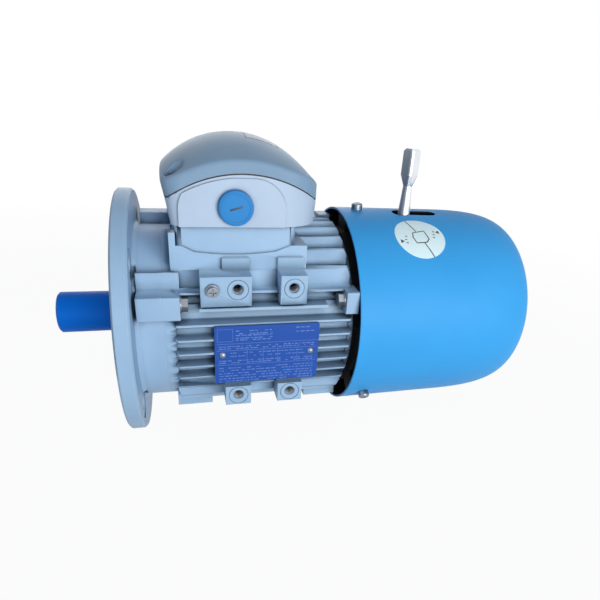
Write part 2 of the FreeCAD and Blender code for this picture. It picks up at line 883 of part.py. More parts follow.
def shaft():
    """Stepped shaft from the output end to the fan."""
    radius = shaft_d / 2
    shoulder = bearing_x + bearing_w
    cage_reach = end_ring_len + cage_fin_len
    groove_r = fan_shaft_r - circlip_bite
    body = turned([
        (-shaft_len, 0), (-shaft_len, radius - shaft_edge), (shaft_edge - shaft_len, radius),
        (0, radius), (0, journal_r), (shoulder, journal_r), (shoulder, body_r - 1),
        (core_x - cage_reach, body_r - 1), (core_x - cage_reach, body_r),
        (core_end + cage_reach, body_r), (core_end + cage_reach, body_r - 1),
        (rear_bearing_x, body_r - 1), (rear_bearing_x, journal_r), (rear_end, journal_r),
        (rear_end, brake_shaft_r), (fan_x, brake_shaft_r), (fan_x, fan_shaft_r),
        (clip_x, fan_shaft_r), (clip_x, groove_r), (clip_x + fan_clip_t, groove_r),
        (clip_x + fan_clip_t, fan_shaft_r), (shaft_end - shaft_edge, fan_shaft_r),
        (shaft_end, fan_shaft_r - shaft_edge), (shaft_end, 0)])
    centre = rod(V(-shaft_len, 0, 0), V(1, 0, 0), centre_hole_r, centre_hole_depth)
    return body.cut([centre, shaft_key(), hub_key()])


def shaft_sleeve():
    """Closed plastic cap that guards the output shaft and its key."""
    radius = shaft_d / 2
    end = -shaft_len - sleeve_gap
    body = turned([(end - sleeve_end_t, 0), (end - sleeve_end_t, sleeve_r - sleeve_edge),
                   (end - sleeve_end_t + sleeve_edge, sleeve_r), (-sleeve_setback, sleeve_r),
                   (-sleeve_setback, radius + sleeve_gap), (end, radius + sleeve_gap), (end, 0)])
    half = key_w / 2 + sleeve_key_gap
    top = radius - key_depth + key_h + sleeve_key_gap
    return body.cut(block(end, 0, -half, half, 0, top))


def stator_core():
    """Laminated core with its winding slots."""
    core = tube(core_x, core_end, bore_r, stator_bore_r)
    slot = block(core_x - 1, core_end + 1, -slot_w / 2, slot_w / 2,
                 stator_bore_r - 2, stator_bore_r + slot_depth)
    return core.cut(spread(slot, slot_count))


def stator_windings():
    """Copper in the slots and the coil heads at both ends."""
    half = slot_w / 2 - slot_gap
    low = stator_bore_r + 2
    high = stator_bore_r + slot_depth - slot_gap
    bar = block(core_x - 1, core_end + 1, -half, half, low, high)
    outer = high + coil_head_out
    heads = []
    for x, out in ((core_x - slot_gap, -1), (core_end + slot_gap, 1)):
        far = x + out * coil_head_len
        near = x + out * coil_head_neck
        heads.append(turned([(x, low), (near, low - 1), (far, low + 1), (far, outer - coil_head_round),
                             (near, outer), (x, high)]))
    return union(heads + spread(bar, slot_count))


def rotor_core():
    """Laminated rotor pack on the shaft."""
    return tube(core_x, core_end, rotor_r, body_r)


def rotor_cage():
    """Cast end rings of the cage, with their small fan blades."""
    inner = rotor_r - end_ring_in
    rings = []
    for x, out in ((core_x, -1), (core_end, 1)):
        x0, x1 = sorted((x, x + out * end_ring_len))
        b0, b1 = sorted((x + out * (end_ring_len - 1), x + out * (end_ring_len + cage_fin_len)))
        blade = block(b0, b1, -cage_fin_t / 2, cage_fin_t / 2, inner + 1, rotor_r - cage_fin_set)
        rings.append(union([tube(x0, x1, rotor_r - end_ring_set, inner)] + spread(blade, cage_fin_count)))
    return rings


def friction_disc():
    """Carrier plate of the brake disc, with a hexagonal bore on the hub."""
    bore = hex_bar(disc_x - 1, disc_x + disc_t + 1, hub_af + 2 * hub_gap)
    return cyl(disc_x, disc_x + disc_t, disc_r).cut(bore)


def friction_linings():
    """Friction rings bonded to both sides of the carrier."""
    return [tube(lining_x, lining_x + lining_t, disc_r, lining_in_r),
            tube(disc_x + disc_t, disc_x + disc_t + lining_t, disc_r, lining_in_r)]


def brake_hub():
    """Hexagonal hub that drives the friction disc."""
    x0 = face_x + hub_front - 1
    body = hex_bar(x0, x0 + hub_len, hub_af).cut(cyl(x0 - 1, x0 + hub_len + 1, brake_shaft_r))
    return body.common(cyl(x0, x0 + hub_len, hub_af / math.sqrt(3) - hub_edge)).cut(hub_key())


def armature_plate():
    """Steel plate that the springs press on the disc, notched for the brake bolts."""
    plate = tube(armature_x, armature_x + armature_t, armature_r, armature_bore_r)
    cuts = []
    for i in range(brake_bolt_count):
        notch_r = sleeve_nut_r + sleeve_nut_gap
        notch = rod(V(armature_x - 1, brake_bolt_circle_r, 0), V(1, 0, 0), notch_r, armature_t + 2)
        open_side = block(armature_x - 1, armature_x + armature_t + 1, brake_bolt_circle_r, brake_r + 1,
                          -notch_r, notch_r)
        cuts.append(turn_copy(union([notch, open_side]), brake_bolt_phase + 360.0 * i / brake_bolt_count))
    for y in (-release_stud_y, release_stud_y):
        cuts.append(rod(V(armature_x + armature_t, y, 0), V(-1, 0, 0), release_stud_r, release_stud_bite))
    return plate.cut(cuts)


def magnet_body():
    """Steel pot of the brake magnet."""
    body = tube(magnet_x, magnet_end, brake_r, magnet_bore_r)
    cuts = [tube(magnet_x - 1, magnet_x + coil_depth + coil_gap, coil_r + coil_gap, pole_r - coil_gap)]
    for y, z in brake_bolt_places():
        cuts.append(rod(V(magnet_x - 1, y, z), V(1, 0, 0), brake_bolt_r + hole_gap, magnet_len + 2))
    y, z = polar(spring_circle_r, spring_phase)
    pocket = rod(V(magnet_x - 1, y, z), V(1, 0, 0), spring_r + spring_pocket_gap,
                 spring_len + spring_set + 1)
    cuts += spread(pocket, spring_count)
    for y in (-release_stud_y, release_stud_y):
        cuts.append(rod(V(magnet_x - 1, y, 0), V(1, 0, 0), release_stud_r + hole_gap, magnet_len + 2))
    return body.cut(cuts)


def brake_coil():
    """Moulded coil in the magnet's groove, holed for the release studs."""
    coil = tube(magnet_x + coil_set, magnet_x + coil_depth, coil_r, pole_r)
    holes = [rod(V(magnet_x, y, 0), V(1, 0, 0), release_stud_r + hole_gap, coil_depth + 1)
             for y in (-release_stud_y, release_stud_y)]
    return coil.cut(holes)


def brake_spring():
    """Helical compression spring in its pocket of the inner pole."""
    pitch = (spring_len - 2 * spring_wire_r) / spring_turns
    radius = spring_r - spring_wire_r
    height = spring_turns * pitch
    path = Part.makeHelix(pitch, height, radius)
    section = Part.Wire(Part.makeCircle(spring_wire_r, V(radius, 0, 0), V(0, 1, 0)))
    coil = Part.Wire(path).makePipeShell([section], True, True)
    coil.rotate(V(0, 0, 0), V(0, 1, 0), 90)
    y, z = polar(spring_circle_r, spring_phase)
    coil.translate(V(magnet_x + spring_set + spring_wire_r, y, z))
    return coil


def brake_springs():
    """The ring of springs behind the armature plate."""
    return spread(brake_spring(), spring_count)


def brake_bolts():
    """Socket-head bolts from the magnet's back into the rear shield."""
    solids = []
    for y, z in brake_bolt_places():
        shank = rod(V(face_x - brake_bolt_bite, y, z), V(1, 0, 0), brake_bolt_r,
                    magnet_end - face_x + brake_bolt_bite + 1)
        head = rod(V(magnet_end, y, z), V(1, 0, 0), cap_head_r, cap_head_h)
        socket_x = magnet_end + cap_head_h - cap_socket_depth
        socket = hex_bar(socket_x, socket_x + cap_head_h, cap_socket_af)
        solids.append(union([shank, head]).cut(moved(socket, y=y, z=z)))
    return solids


def spacer_sleeves():
    """Hollow setting screws that hold the magnet off the rear shield."""
    ring = tube(face_x, magnet_x, sleeve_nut_r, brake_bolt_r)
    return [moved(ring, y=y, z=z) for y, z in brake_bolt_places()]


def release_studs():
    """Studs from the armature plate through the magnet, with their nuts."""
    solids = []
    for y in (-release_stud_y, release_stud_y):
        x0 = armature_x + armature_t - release_stud_bite
        stud_end = release_nut_x + release_nut_h + release_stud_end
        stud = rod(V(x0, y, 0), V(1, 0, 0), release_stud_r, stud_end - x0)
        nut = moved(hex_bar(release_nut_x, release_nut_x + release_nut_h, release_nut_af), y=y)
        solids += [stud, nut.cut(stud)]
    return solids


def release_yoke():
    """Half-ring yoke on two round feet, with the boss of the lever."""
    ring = tube(barrel_x - yoke_t / 2, barrel_x + yoke_t / 2, yoke_out_r, yoke_in_r)
    arch = ring.common(block(0, cowl_end, -yoke_out_r, yoke_out_r, 0, yoke_out_r))
    solids = [arch]
    for side in (-1, 1):
        foot_y = side * release_stud_y - barrel_len / 2
        solids.append(rod(V(barrel_x, foot_y, 0), V(0, 1, 0), barrel_r, barrel_len))
    boss_h = lever_boss_high - lever_boss_low
    solids.append(rod(V(barrel_x, -lever_y, lever_boss_low), V(0, 0, 1), lever_boss_r, boss_h))
    hole_r = release_stud_r + stud_hole_gap
    cuts = [rod(V(barrel_x - barrel_r - 1, y, 0), V(1, 0, 0), hole_r, 2 * barrel_r + 2)
            for y in (-release_stud_y, release_stud_y)]
    socket_z = lever_boss_low + lever_socket_floor
    cuts.append(rod(V(barrel_x, -lever_y, socket_z), V(0, 0, 1), lever_thread_r, boss_h))
    return union(solids).cut(cuts)


def grip_wire(z, width, thickness, corner):
    """Rounded rectangle across the lever."""
    plate = block(-width / 2, width / 2, -thickness / 2, thickness / 2, z, z + 1)
    outline = soften(plate, corner, V(0, 0, 1))
    for face in outline.Faces:
        if abs(face.CenterOfMass.z - z) < 1e-6:
            return face.OuterWire
    return None


def release_lever():
    """Tapered steel rod screwed in the yoke, forged to a four-sided grip at its end."""
    thread_z = lever_boss_low + lever_socket_floor + lever_socket_gap
    thread = rod(V(0, 0, thread_z), V(0, 0, 1), lever_thread_r, lever_boss_high - thread_z + 1)
    stem = Part.makeCone(lever_foot_r, lever_r, lever_neck_z - lever_boss_high, V(0, 0, lever_boss_high))
    throat = Part.makeLoft([grip_wire(lever_neck_z, 2 * lever_r, 2 * lever_r, lever_r * lever_throat_share),
                            grip_wire(lever_grip_z, grip_w, grip_t, grip_corner)], True, True)
    grip = soften(block(-grip_w / 2, grip_w / 2, -grip_t / 2, grip_t / 2, lever_grip_z, lever_top_z),
                  grip_corner, V(0, 0, 1))
    top_edges = [edge for edge in grip.Edges if edge.BoundBox.ZMin > lever_top_z - 0.01]
    grip = grip.makeChamfer(grip_crown, top_edges)
    end = union([throat, grip])
    end.rotate(V(0, 0, 0), V(0, 0, 1), grip_turn)
    return moved(union([thread, stem, end]), x=barrel_x, y=-lever_y)


def cooling_fan():
    """Radial-blade plastic fan on the shaft's tail."""
    hub = tube(fan_x, fan_x + fan_hub_len, fan_hub_r, fan_shaft_r)
    plate_x0 = fan_x + fan_plate_set
    plate = tube(plate_x0, plate_x0 + fan_plate_t, fan_r, fan_shaft_r)
    blade_x = plate_x0 + fan_blade_h
    outline = [V(plate_x0 + 1, 0, fan_blade_root), V(plate_x0 + 1, 0, fan_r),
               V(plate_x0 + fan_blade_h * fan_blade_rim_share, 0, fan_r),
               V(blade_x, 0, fan_r * fan_blade_out_share), V(blade_x, 0, fan_r * fan_blade_in_share),
               V(fan_x + fan_hub_len - 2, 0, fan_blade_root)]
    blade = moved(extruded(outline, V(0, fan_blade_t, 0)), y=-fan_blade_t / 2)
    return union([hub, plate] + spread(blade, fan_blade_count)).cut(cyl(0, cowl_end, fan_shaft_r))


def cowl_profile(inset):
    """Closed (x, radius) outline of the cowl's form, set in by a wall thickness."""
    straight_x = cowl_x + cowl_straight
    end = cowl_end - inset
    points = [(cowl_x, 0), (cowl_x, cowl_r - inset), (straight_x, cowl_end_r - inset)]
    rise = cowl_end_r - cowl_face_r
    for i in range(1, cowl_arc_points):
        share = math.sin(math.pi / 2 * i / cowl_arc_points) ** (2 / cowl_power)
        fall = math.cos(math.pi / 2 * i / cowl_arc_points) ** (2 / cowl_power)
        points.append((straight_x + (end - straight_x) * share, cowl_face_r - inset + rise * fall))
    return points + [(end, cowl_face_r - inset), (end, 0)]


def cowl_form(inset):
    """Solid form of the cowl: a slow taper, a round shoulder and a flat end."""
    outline = [V(x, 0, r) for x, r in cowl_profile(inset)]
    shoulder = Part.BSplineCurve()
    shoulder.interpolate(outline[2:-1])
    edges = [Part.makePolygon([outline[-1], outline[0], outline[1], outline[2]]), shoulder.toShape(),
             Part.makeLine(outline[-2], outline[-1])]
    wire = Part.Wire([edge for piece in edges for edge in piece.Edges])
    return Part.Face(wire).revolve(V(0, 0, 0), V(1, 0, 0), 360)


def cowl_grille():
    """Round grille in the cowl's mouth, with rings of curved air slots."""
    x0 = cowl_end - 2 * cowl_wall
    x1 = cowl_end - cowl_wall
    cuts = [cyl(x0 - 1, x1 + 1, grille_slot_w)]
    bridge = block(x0 - 2, x1 + 2, -grille_bridge / 2, grille_bridge / 2, 0, cowl_r)
    for ring in range(grille_rings):
        inner = grille_first_r + ring * grille_pitch - grille_slot_w / 2
        slot_ring = tube(x0 - 1, x1 + 1, inner + grille_slot_w, inner)
        count = grille_slots // 2 if ring == 0 else grille_slots
        cuts.append(slot_ring.cut(spread(bridge, count, ring * grille_turn)))
    return cyl(x0, x1, grille_r).cut(cuts)


def fan_cowl():
    """Pressed steel cowl with the lever slot and a round mouth for the air."""
    shell = cowl_form(0).cut(cowl_form(cowl_wall))
    y0 = -lever_y - lever_slot_w / 2
    slot_end = lever_slot_x + lever_slot_len - lever_slot_w / 2
    slot = block(lever_slot_x + lever_eye_r, slot_end, y0, y0 + lever_slot_w, cowl_r / 2, cowl_r * 1.5)
    ends = [rod(V(slot_end, -lever_y, cowl_r / 2), V(0, 0, 1), lever_slot_w / 2, cowl_r),
            rod(V(lever_slot_x + lever_eye_r, -lever_y, cowl_r / 2), V(0, 0, 1), lever_eye_r, cowl_r)]
    hole = rod(V(cowl_x + cowl_screw_x, 0, cowl_r / 2), V(0, 0, 1), cowl_screw_r + hole_gap, cowl_r)
    holes = [turn_copy(hole, turn) for turn in cowl_screw_turns]
    mouth = cyl(cowl_end - 2 * cowl_wall, cowl_end + 1, cowl_mouth_r)
    return shell.cut([slot] + ends + holes + [mouth])


def cross_recess():
    """Cross-shaped driver recess under the origin, open upwards."""
    arm = block(-cross_arm, cross_arm, -cross_w / 2, cross_w / 2, -cross_depth, 1)
    other = arm.copy()
    other.rotate(V(0, 0, 0), V(0, 0, 1), 90)
    return union([arm, other])


def cowl_screws():
    """Pan-head screws that hold the cowl on the rear shield."""
    x = cowl_x + cowl_screw_x
    seat = cowl_r - (cowl_r - cowl_end_r) * (cowl_screw_x - cowl_screw_head_r) / cowl_straight
    shank = rod(V(x, 0, seat - cowl_screw_bite), V(0, 0, 1), cowl_screw_r, cowl_screw_bite + 1)
    head = rod(V(x, 0, seat), V(0, 0, 1), cowl_screw_head_r, cowl_screw_head_h)
    crown = [edge for edge in head.Edges if edge.BoundBox.ZMin > seat + cowl_screw_head_h - 0.01]
    screw = union([shank, head.makeFillet(cowl_screw_round, crown)])
    screw = screw.cut(moved(cross_recess(), x=x, z=seat + cowl_screw_head_h))
    return [turn_copy(screw, turn) for turn in cowl_screw_turns]


def plan_wire(z, grow, left_in, right_in):
    """Outline of the terminal box at a height, grown outwards, with its large corner radii."""
    x0, x1 = box_x - grow + left_in, box_end + grow - right_in
    half = box_half + grow
    left = box_left_r + grow - left_in
    right = box_right_r + grow - right_in
    diag = 1 - math.sqrt(0.5)
    arcs = [((x0 + left, -half), (x0 + left * diag, -half + left * diag), (x0, -half + left)),
            ((x0, half - left), (x0 + left * diag, half - left * diag), (x0 + left, half)),
            ((x1 - right, half), (x1 - right * diag, half - right * diag), (x1, half - right)),
            ((x1, right - half), (x1 - right * diag, right * diag - half), (x1 - right, -half))]
    edges = []
    for i, arc in enumerate(arcs):
        points = [V(x, y, z) for x, y in arc]
        follow = V(*arcs[(i + 1) % 4][0], z)
        edges.append(Part.Arc(*points).toShape())
        edges.append(Part.makeLine(points[2], follow))
    return Part.Wire(edges)


def box_form(grow):
    """Drafted upright form of the box, wider at the lid than at its foot."""
    foot = plan_wire(neck_top, grow, box_foot_left, box_foot_right)
    waist = plan_wire(seam_height(box_x), grow, box_waist_left, 0)
    top = plan_wire(dome_mid + lid_brim_r, grow, box_top_left, 0)
    return Part.makeLoft([foot, waist, top], True, True)


def below_arch(mid):
    """Everything under an arch that runs across the box."""
    half = box_len / 2 + box_foot_left
    drop = seam_r - math.sqrt(seam_r ** 2 - half ** 2)
    ends = [V(box_mid_x + side * half, -box_half * 2, mid - drop) for side in (-1, 1)]
    top = V(box_mid_x, -box_half * 2, mid)
    arc = Part.Arc(ends[0], top, ends[1]).toShape()
    corners = [ends[1], V(ends[1].x, ends[1].y, 0), V(ends[0].x, ends[0].y, 0), ends[0]]
    wire = Part.Wire([arc] + Part.makePolygon(corners).Edges)
    return Part.Face(wire).extrude(V(0, box_half * 4, 0))


def entry_panel(side):
    """Flat arched seat of a cable entry on one long side of the box."""
    x0, x1 = panel_x, panel_x + panel_len
    y = side * (box_half + panel_proud)
    round_part = panel_corner * (1 - math.sqrt(0.5))
    shoulder = panel_top - panel_corner
    left = Part.Arc(V(x0, y, shoulder), V(x0 + round_part, y, panel_top - round_part),
                    V(x0 + panel_corner, y, panel_top)).toShape()
    right = Part.Arc(V(x1 - panel_corner, y, panel_top), V(x1 - round_part, y, panel_top - round_part),
                     V(x1, y, shoulder)).toShape()
    lines = [Part.makeLine(V(x0, y, neck_top), V(x0, y, shoulder)),
             Part.makeLine(V(x0 + panel_corner, y, panel_top), V(x1 - panel_corner, y, panel_top)),
             Part.makeLine(V(x1, y, shoulder), V(x1, y, neck_top)),
             Part.makeLine(V(x1, y, neck_top), V(x0, y, neck_top))]
    wire = Part.Wire([lines[0], left, lines[1], right, lines[2], lines[3]])
    return Part.Face(wire).extrude(V(0, -side * (panel_proud + box_wall / 2), 0))


def lid_screw_places():
    """The two lid screws, in opposite corners of the box."""
    return [(box_x + lid_screw_in, lid_screw_in - box_half),
            (box_end - lid_screw_far_in, box_half - lid_screw_far_in)]


def lid_screw_bosses():
    """Columns round the lid screws, inside the walls of the box."""
    inside = box_form(-1)
    return [rod(V(x, y, neck_top), V(0, 0, 1), boss_r, dome_mid - neck_top).common(inside)
            for x, y in lid_screw_places()]


def base_screw_places():
    """Screws that hold the box on the neck, in the neck's corners."""
    places = []
    for x in (neck_x + base_screw_x - neck_wall, neck_end - base_screw_x + neck_wall):
        for y in (-neck_half + base_screw_y, neck_half - base_screw_y):
            places.append((x, y))
    return places


def seam_height(x):
    """Height of the seam between box and lid at a place along the shaft."""
    return seam_mid - seam_r + math.sqrt(seam_r ** 2 - (x - box_mid_x) ** 2)


def terminal_box_base():
    """Lower shell of the box, open at its arched top."""
    low = below_arch(seam_mid - gasket_t / 2)
    panel_room = below_arch(seam_mid - panel_gap)
    panels = [entry_panel(side).common(panel_room) for side in (-1, 1)]
    outer = union([box_form(0).common(low)] + panels)
    room = block(0, rear_x, -box_half, box_half, neck_top + box_floor, dome_mid)
    inner = box_form(-box_wall).common(room)
    shell = outer.cut(inner)
    bosses = [boss.common(low) for boss in lid_screw_bosses()]
    body = union([shell] + bosses)
    cuts = [block(neck_mid_x - window_len / 2, neck_mid_x + window_len / 2, -window_half, window_half,
                  neck_top - 1, neck_top + box_floor + 1)]
    for side in (-1, 1):
        cuts.append(rod(V(entry_x, side * (box_half - box_wall - 1), entry_z), V(0, side, 0),
                        entry_r, box_wall + panel_proud + 2))
    for x, y in lid_screw_places():
        hole_z = seam_height(x) - lid_screw_bite - 1
        cuts.append(rod(V(x, y, hole_z), V(0, 0, 1), lid_screw_r, lid_screw_bite + 2))
    for x, y in base_screw_places():
        cuts.append(rod(V(x, y, neck_top - 1), V(0, 0, 1), base_screw_r + hole_gap, box_floor + 2))
    return body.cut(cuts)


def lid_gasket():
    """Flat seal between the box and its lid, bent to the arch."""
    band = below_arch(seam_mid + gasket_t / 2).cut(below_arch(seam_mid - gasket_t / 2))
    ring = band.common(box_form(-gasket_inset)).cut(box_form(-box_wall))
    ears = [boss.common(band) for boss in lid_screw_bosses()]
    holes = [rod(V(x, y, neck_top), V(0, 0, 1), lid_screw_r + hole_gap, dome_mid - neck_top)
             for x, y in lid_screw_places()]
    return union([ring] + ears).cut(holes)


def dome_section(share, grow):
    """Section of the lid's dome at a share of the half width, highest over the terminal block."""
    radius = (box_half ** 2 + (dome_mid - skirt_mid) ** 2) / (2 * (dome_mid - skirt_mid))
    fall = radius - math.sqrt(radius ** 2 - (share * box_half) ** 2)
    left = crown_left - (crown_left - skirt_end) * share ** 2 + grow
    right = crown_right - (crown_right - skirt_end) * share ** 2 + grow
    x0, x1 = box_x - 1 - grow, box_end + 1 + grow
    y = share * (box_half + 1)
    crown = Part.Arc(V(x0, y, left), V(crown_x, y, dome_mid - fall + grow), V(x1, y, right)).toShape()
    lines = Part.makePolygon([V(x1, y, right), V(x1, y, neck_top), V(x0, y, neck_top), V(x0, y, left)])
    return Part.Wire([crown] + lines.Edges)


def dome_form(grow):
    """Crowned form over the box: an arch that rises towards the middle."""
    sections = [dome_section(share, grow) for share in dome_shares]
    return Part.makeLoft(sections, True, False)


def on_brim(edge):
    """Tell a brim edge of the lid from the upright ones and those at the seam."""
    middle = (edge.FirstParameter + edge.LastParameter) / 2
    point = edge.valueAt(middle)
    along = edge.tangentAt(middle)
    return point.z > seam_height(point.x) + lid_brim_r and abs(along.z) < brim_slope


def terminal_box_lid():
    """Domed lid with an arched skirt and two screw scoops."""
    outer = dome_form(0).common(box_form(0)).cut(below_arch(seam_mid + gasket_t / 2))
    outer = outer.makeFillet(lid_brim_r, [edge for edge in outer.Edges if on_brim(edge)])
    room = dome_form(-lid_wall).common(box_form(-box_wall))
    for x, y in lid_screw_places():
        floor_z = seam_height(x) + gasket_t / 2 + scoop_floor
        rise = math.sqrt(2) / math.tan(math.radians(scoop_slant))
        out = V(math.copysign(1, x - box_mid_x), math.copysign(1, y), rise)
        room = room.cut(rod(V(x, y, neck_top), V(0, 0, 1), scoop_r + scoop_wall, dome_mid))
        outer = outer.cut(rod(V(x, y, floor_z), V(0, 0, 1), scoop_r, dome_rise))
        outer = outer.cut(rod(V(x, y, floor_z + scoop_r), out, scoop_r - scoop_step, dome_rise))
        outer = outer.cut(rod(V(x, y, neck_top), V(0, 0, 1), lid_screw_r + hole_gap, dome_mid - neck_top))
    return outer.cut(room)


def lid_screws():
    """Slotted lid screws in their scoops."""
    solids = []
    for x, y in lid_screw_places():
        seat = seam_height(x) + gasket_t / 2 + scoop_floor
        top = seat + lid_screw_head_h
        head = rod(V(x, y, seat), V(0, 0, 1), lid_screw_head_r, lid_screw_head_h)
        slot = block(x - lid_screw_head_r, x + lid_screw_head_r, y - lid_screw_slot_w / 2,
                     y + lid_screw_slot_w / 2, top - lid_screw_slot_h, top + 1)
        foot = seam_height(x) - lid_screw_bite
        shank = rod(V(x, y, foot), V(0, 0, 1), lid_screw_r, seat - foot + 1)
        solids.append(union([head, shank]).cut(slot))
    return solids


def box_screws():
    """Pan-head screws through the box floor into the neck."""
    solids = []
    for x, y in base_screw_places():
        top = neck_top + box_floor
        head = rod(V(x, y, top), V(0, 0, 1), base_screw_head_r, base_screw_head_h)
        shank = rod(V(x, y, neck_top + 1 - base_screw_len), V(0, 0, 1), base_screw_r,
                    base_screw_len - 1 + box_floor + 1)
        solids.append(union([head, shank]))
    return solids


def cable_plug(side):
    """Round blanking plug of a cable entry."""
    face_y = side * (box_half + panel_proud)
    head = rod(V(entry_x, face_y, entry_z), V(0, side, 0), plug_r, plug_head)
    outer = max(head.Edges, key=lambda edge: side * edge.BoundBox.YMin)
    head = head.makeFillet(plug_edge, [outer])
    shank = rod(V(entry_x, face_y, entry_z), V(0, -side, 0), entry_r - thread_gap, plug_shank)
    web_y = face_y - side * plug_web
    hollow = rod(V(entry_x, web_y, entry_z), V(0, -side, 0), entry_r - plug_wall, plug_shank)
    return union([head, shank]).cut(hollow)


def block_places():
    """Stud centres of the terminal block."""
    rows = []
    for y in (-stud_row / 2, stud_row / 2):
        rows += [(neck_mid_x + stud_pitch * i, y) for i in (-1, 0, 1)]
    return rows


def terminal_block():
    """Moulded terminal block with barrier ribs, bridging the cable window."""
    mid_x = neck_mid_x
    low = neck_top + box_floor
    base = block(mid_x - block_w / 2, mid_x + block_w / 2, -block_d / 2, block_d / 2, low, low + block_h)
    top = low + block_h
    ribs = [block(x - rib_t / 2, x + rib_t / 2, -block_d / 2, block_d / 2, top - 1, top + rib_h)
            for x in (mid_x - stud_pitch / 2, mid_x + stud_pitch / 2)]
    cuts = [rod(V(x, y, top - stud_root), V(0, 0, 1), stud_r, stud_root + rib_h) for x, y in block_places()]
    notch_half = link_w / 2 + 1
    for y in (-stud_row / 2, stud_row / 2):
        cuts.append(block(mid_x - stud_pitch, mid_x + stud_pitch, y - notch_half, y + notch_half,
                          top, top + rib_h))
    return union([base] + ribs).cut(cuts)


def terminal_studs():
    """Brass studs with their nuts."""
    low = neck_top + box_floor + block_h
    stud = rod(V(0, 0, low - stud_root), V(0, 0, 1), stud_r, stud_h)
    ring = [polar(nut_af / math.sqrt(3), 60 * i) for i in range(6)]
    nut = extruded([V(x, y, low + link_t) for x, y in ring], V(0, 0, nut_h))
    return [moved(union([stud, nut]), x=x, y=y) for x, y in block_places()]


def terminal_links():
    """Flat link that joins one row of studs in a star."""
    low = neck_top + box_floor + block_h
    row = [place for place in block_places() if place[1] > 0]
    y = row[0][1]
    bar = block(row[0][0], row[-1][0], y - link_w / 2, y + link_w / 2, low, low + link_t)
    ends = [rod(V(x, y, low), V(0, 0, 1), link_w / 2, link_t) for x, _ in (row[0], row[-1])]
    holes = [rod(V(x, y, low - 1), V(0, 0, 1), stud_r, link_t + 2) for x, _ in row]
    return union([bar] + ends).cut(holes)


def rectifier():
    """Encapsulated rectifier of the brake coil, beside the terminal block."""
    x0 = neck_mid_x + block_w / 2 + rectifier_gap
    x1 = box_end - box_wall - box_foot_right - rectifier_set
    low = neck_top + box_floor
    case = block(x0, x1, -rectifier_d / 2, rectifier_d / 2, low, low + rectifier_h)
    return soften(case, rectifier_edge, V(0, 0, 1))


def name_plate():
    """Thin bare plate on its rivet bosses."""
    low = plate_mid_z - plate_h / 2
    plate = block(plate_x, plate_x + plate_w, -fin_tip_r - plate_t, -fin_tip_r, low, low + plate_h)
    holes = [rod(V(x, -fin_tip_r - plate_t - 1, plate_mid_z), V(0, 1, 0), rivet_r, plate_t + 2)
             for x in (plate_x + rivet_in, plate_x + plate_w - rivet_in)]
    return soften(plate, plate_corner, V(0, 1, 0)).cut(holes)


def plate_rivets():
    """Domed drive rivets of the plate."""
    solids = []
    for x in (plate_x + rivet_in, plate_x + plate_w - rivet_in):
        face_y = -fin_tip_r - plate_t
        shank = rod(V(x, face_y - rivet_head_h / 2, plate_mid_z), V(0, 1, 0), rivet_r, rivet_len)
        dome_r = (rivet_head_r ** 2 + rivet_head_h ** 2) / (2 * rivet_head_h)
        ball = Part.makeSphere(dome_r, V(x, face_y + dome_r - rivet_head_h, plate_mid_z))
        half = 2 * rivet_head_r
        head = ball.common(block(x - half, x + half, face_y - half, face_y,
                                 plate_mid_z - half, plate_mid_z + half))
        solids.append(union([shank, head]))
    return solids


def earth_screw():
    """Earthing screw with its clamp washer."""
    face_y = -pad_reach
    washer = rod(V(earth_x, face_y, pad_hole_z), V(0, -1, 0), earth_washer_r, earth_washer_t)
    head = rod(V(earth_x, face_y - earth_washer_t, pad_hole_z), V(0, -1, 0), earth_head_r, earth_head_h)
    shank = rod(V(earth_x, face_y - earth_washer_t - 1, pad_hole_z), V(0, 1, 0), earth_screw_r,
                earth_screw_len - 1)
    screw = union([head, shank])
    cross = turn_copy(cross_recess(), 90)
    cross = moved(cross, x=earth_x, y=face_y - earth_washer_t - earth_head_h, z=pad_hole_z)
    return [washer.cut(shank), screw.cut(cross)]


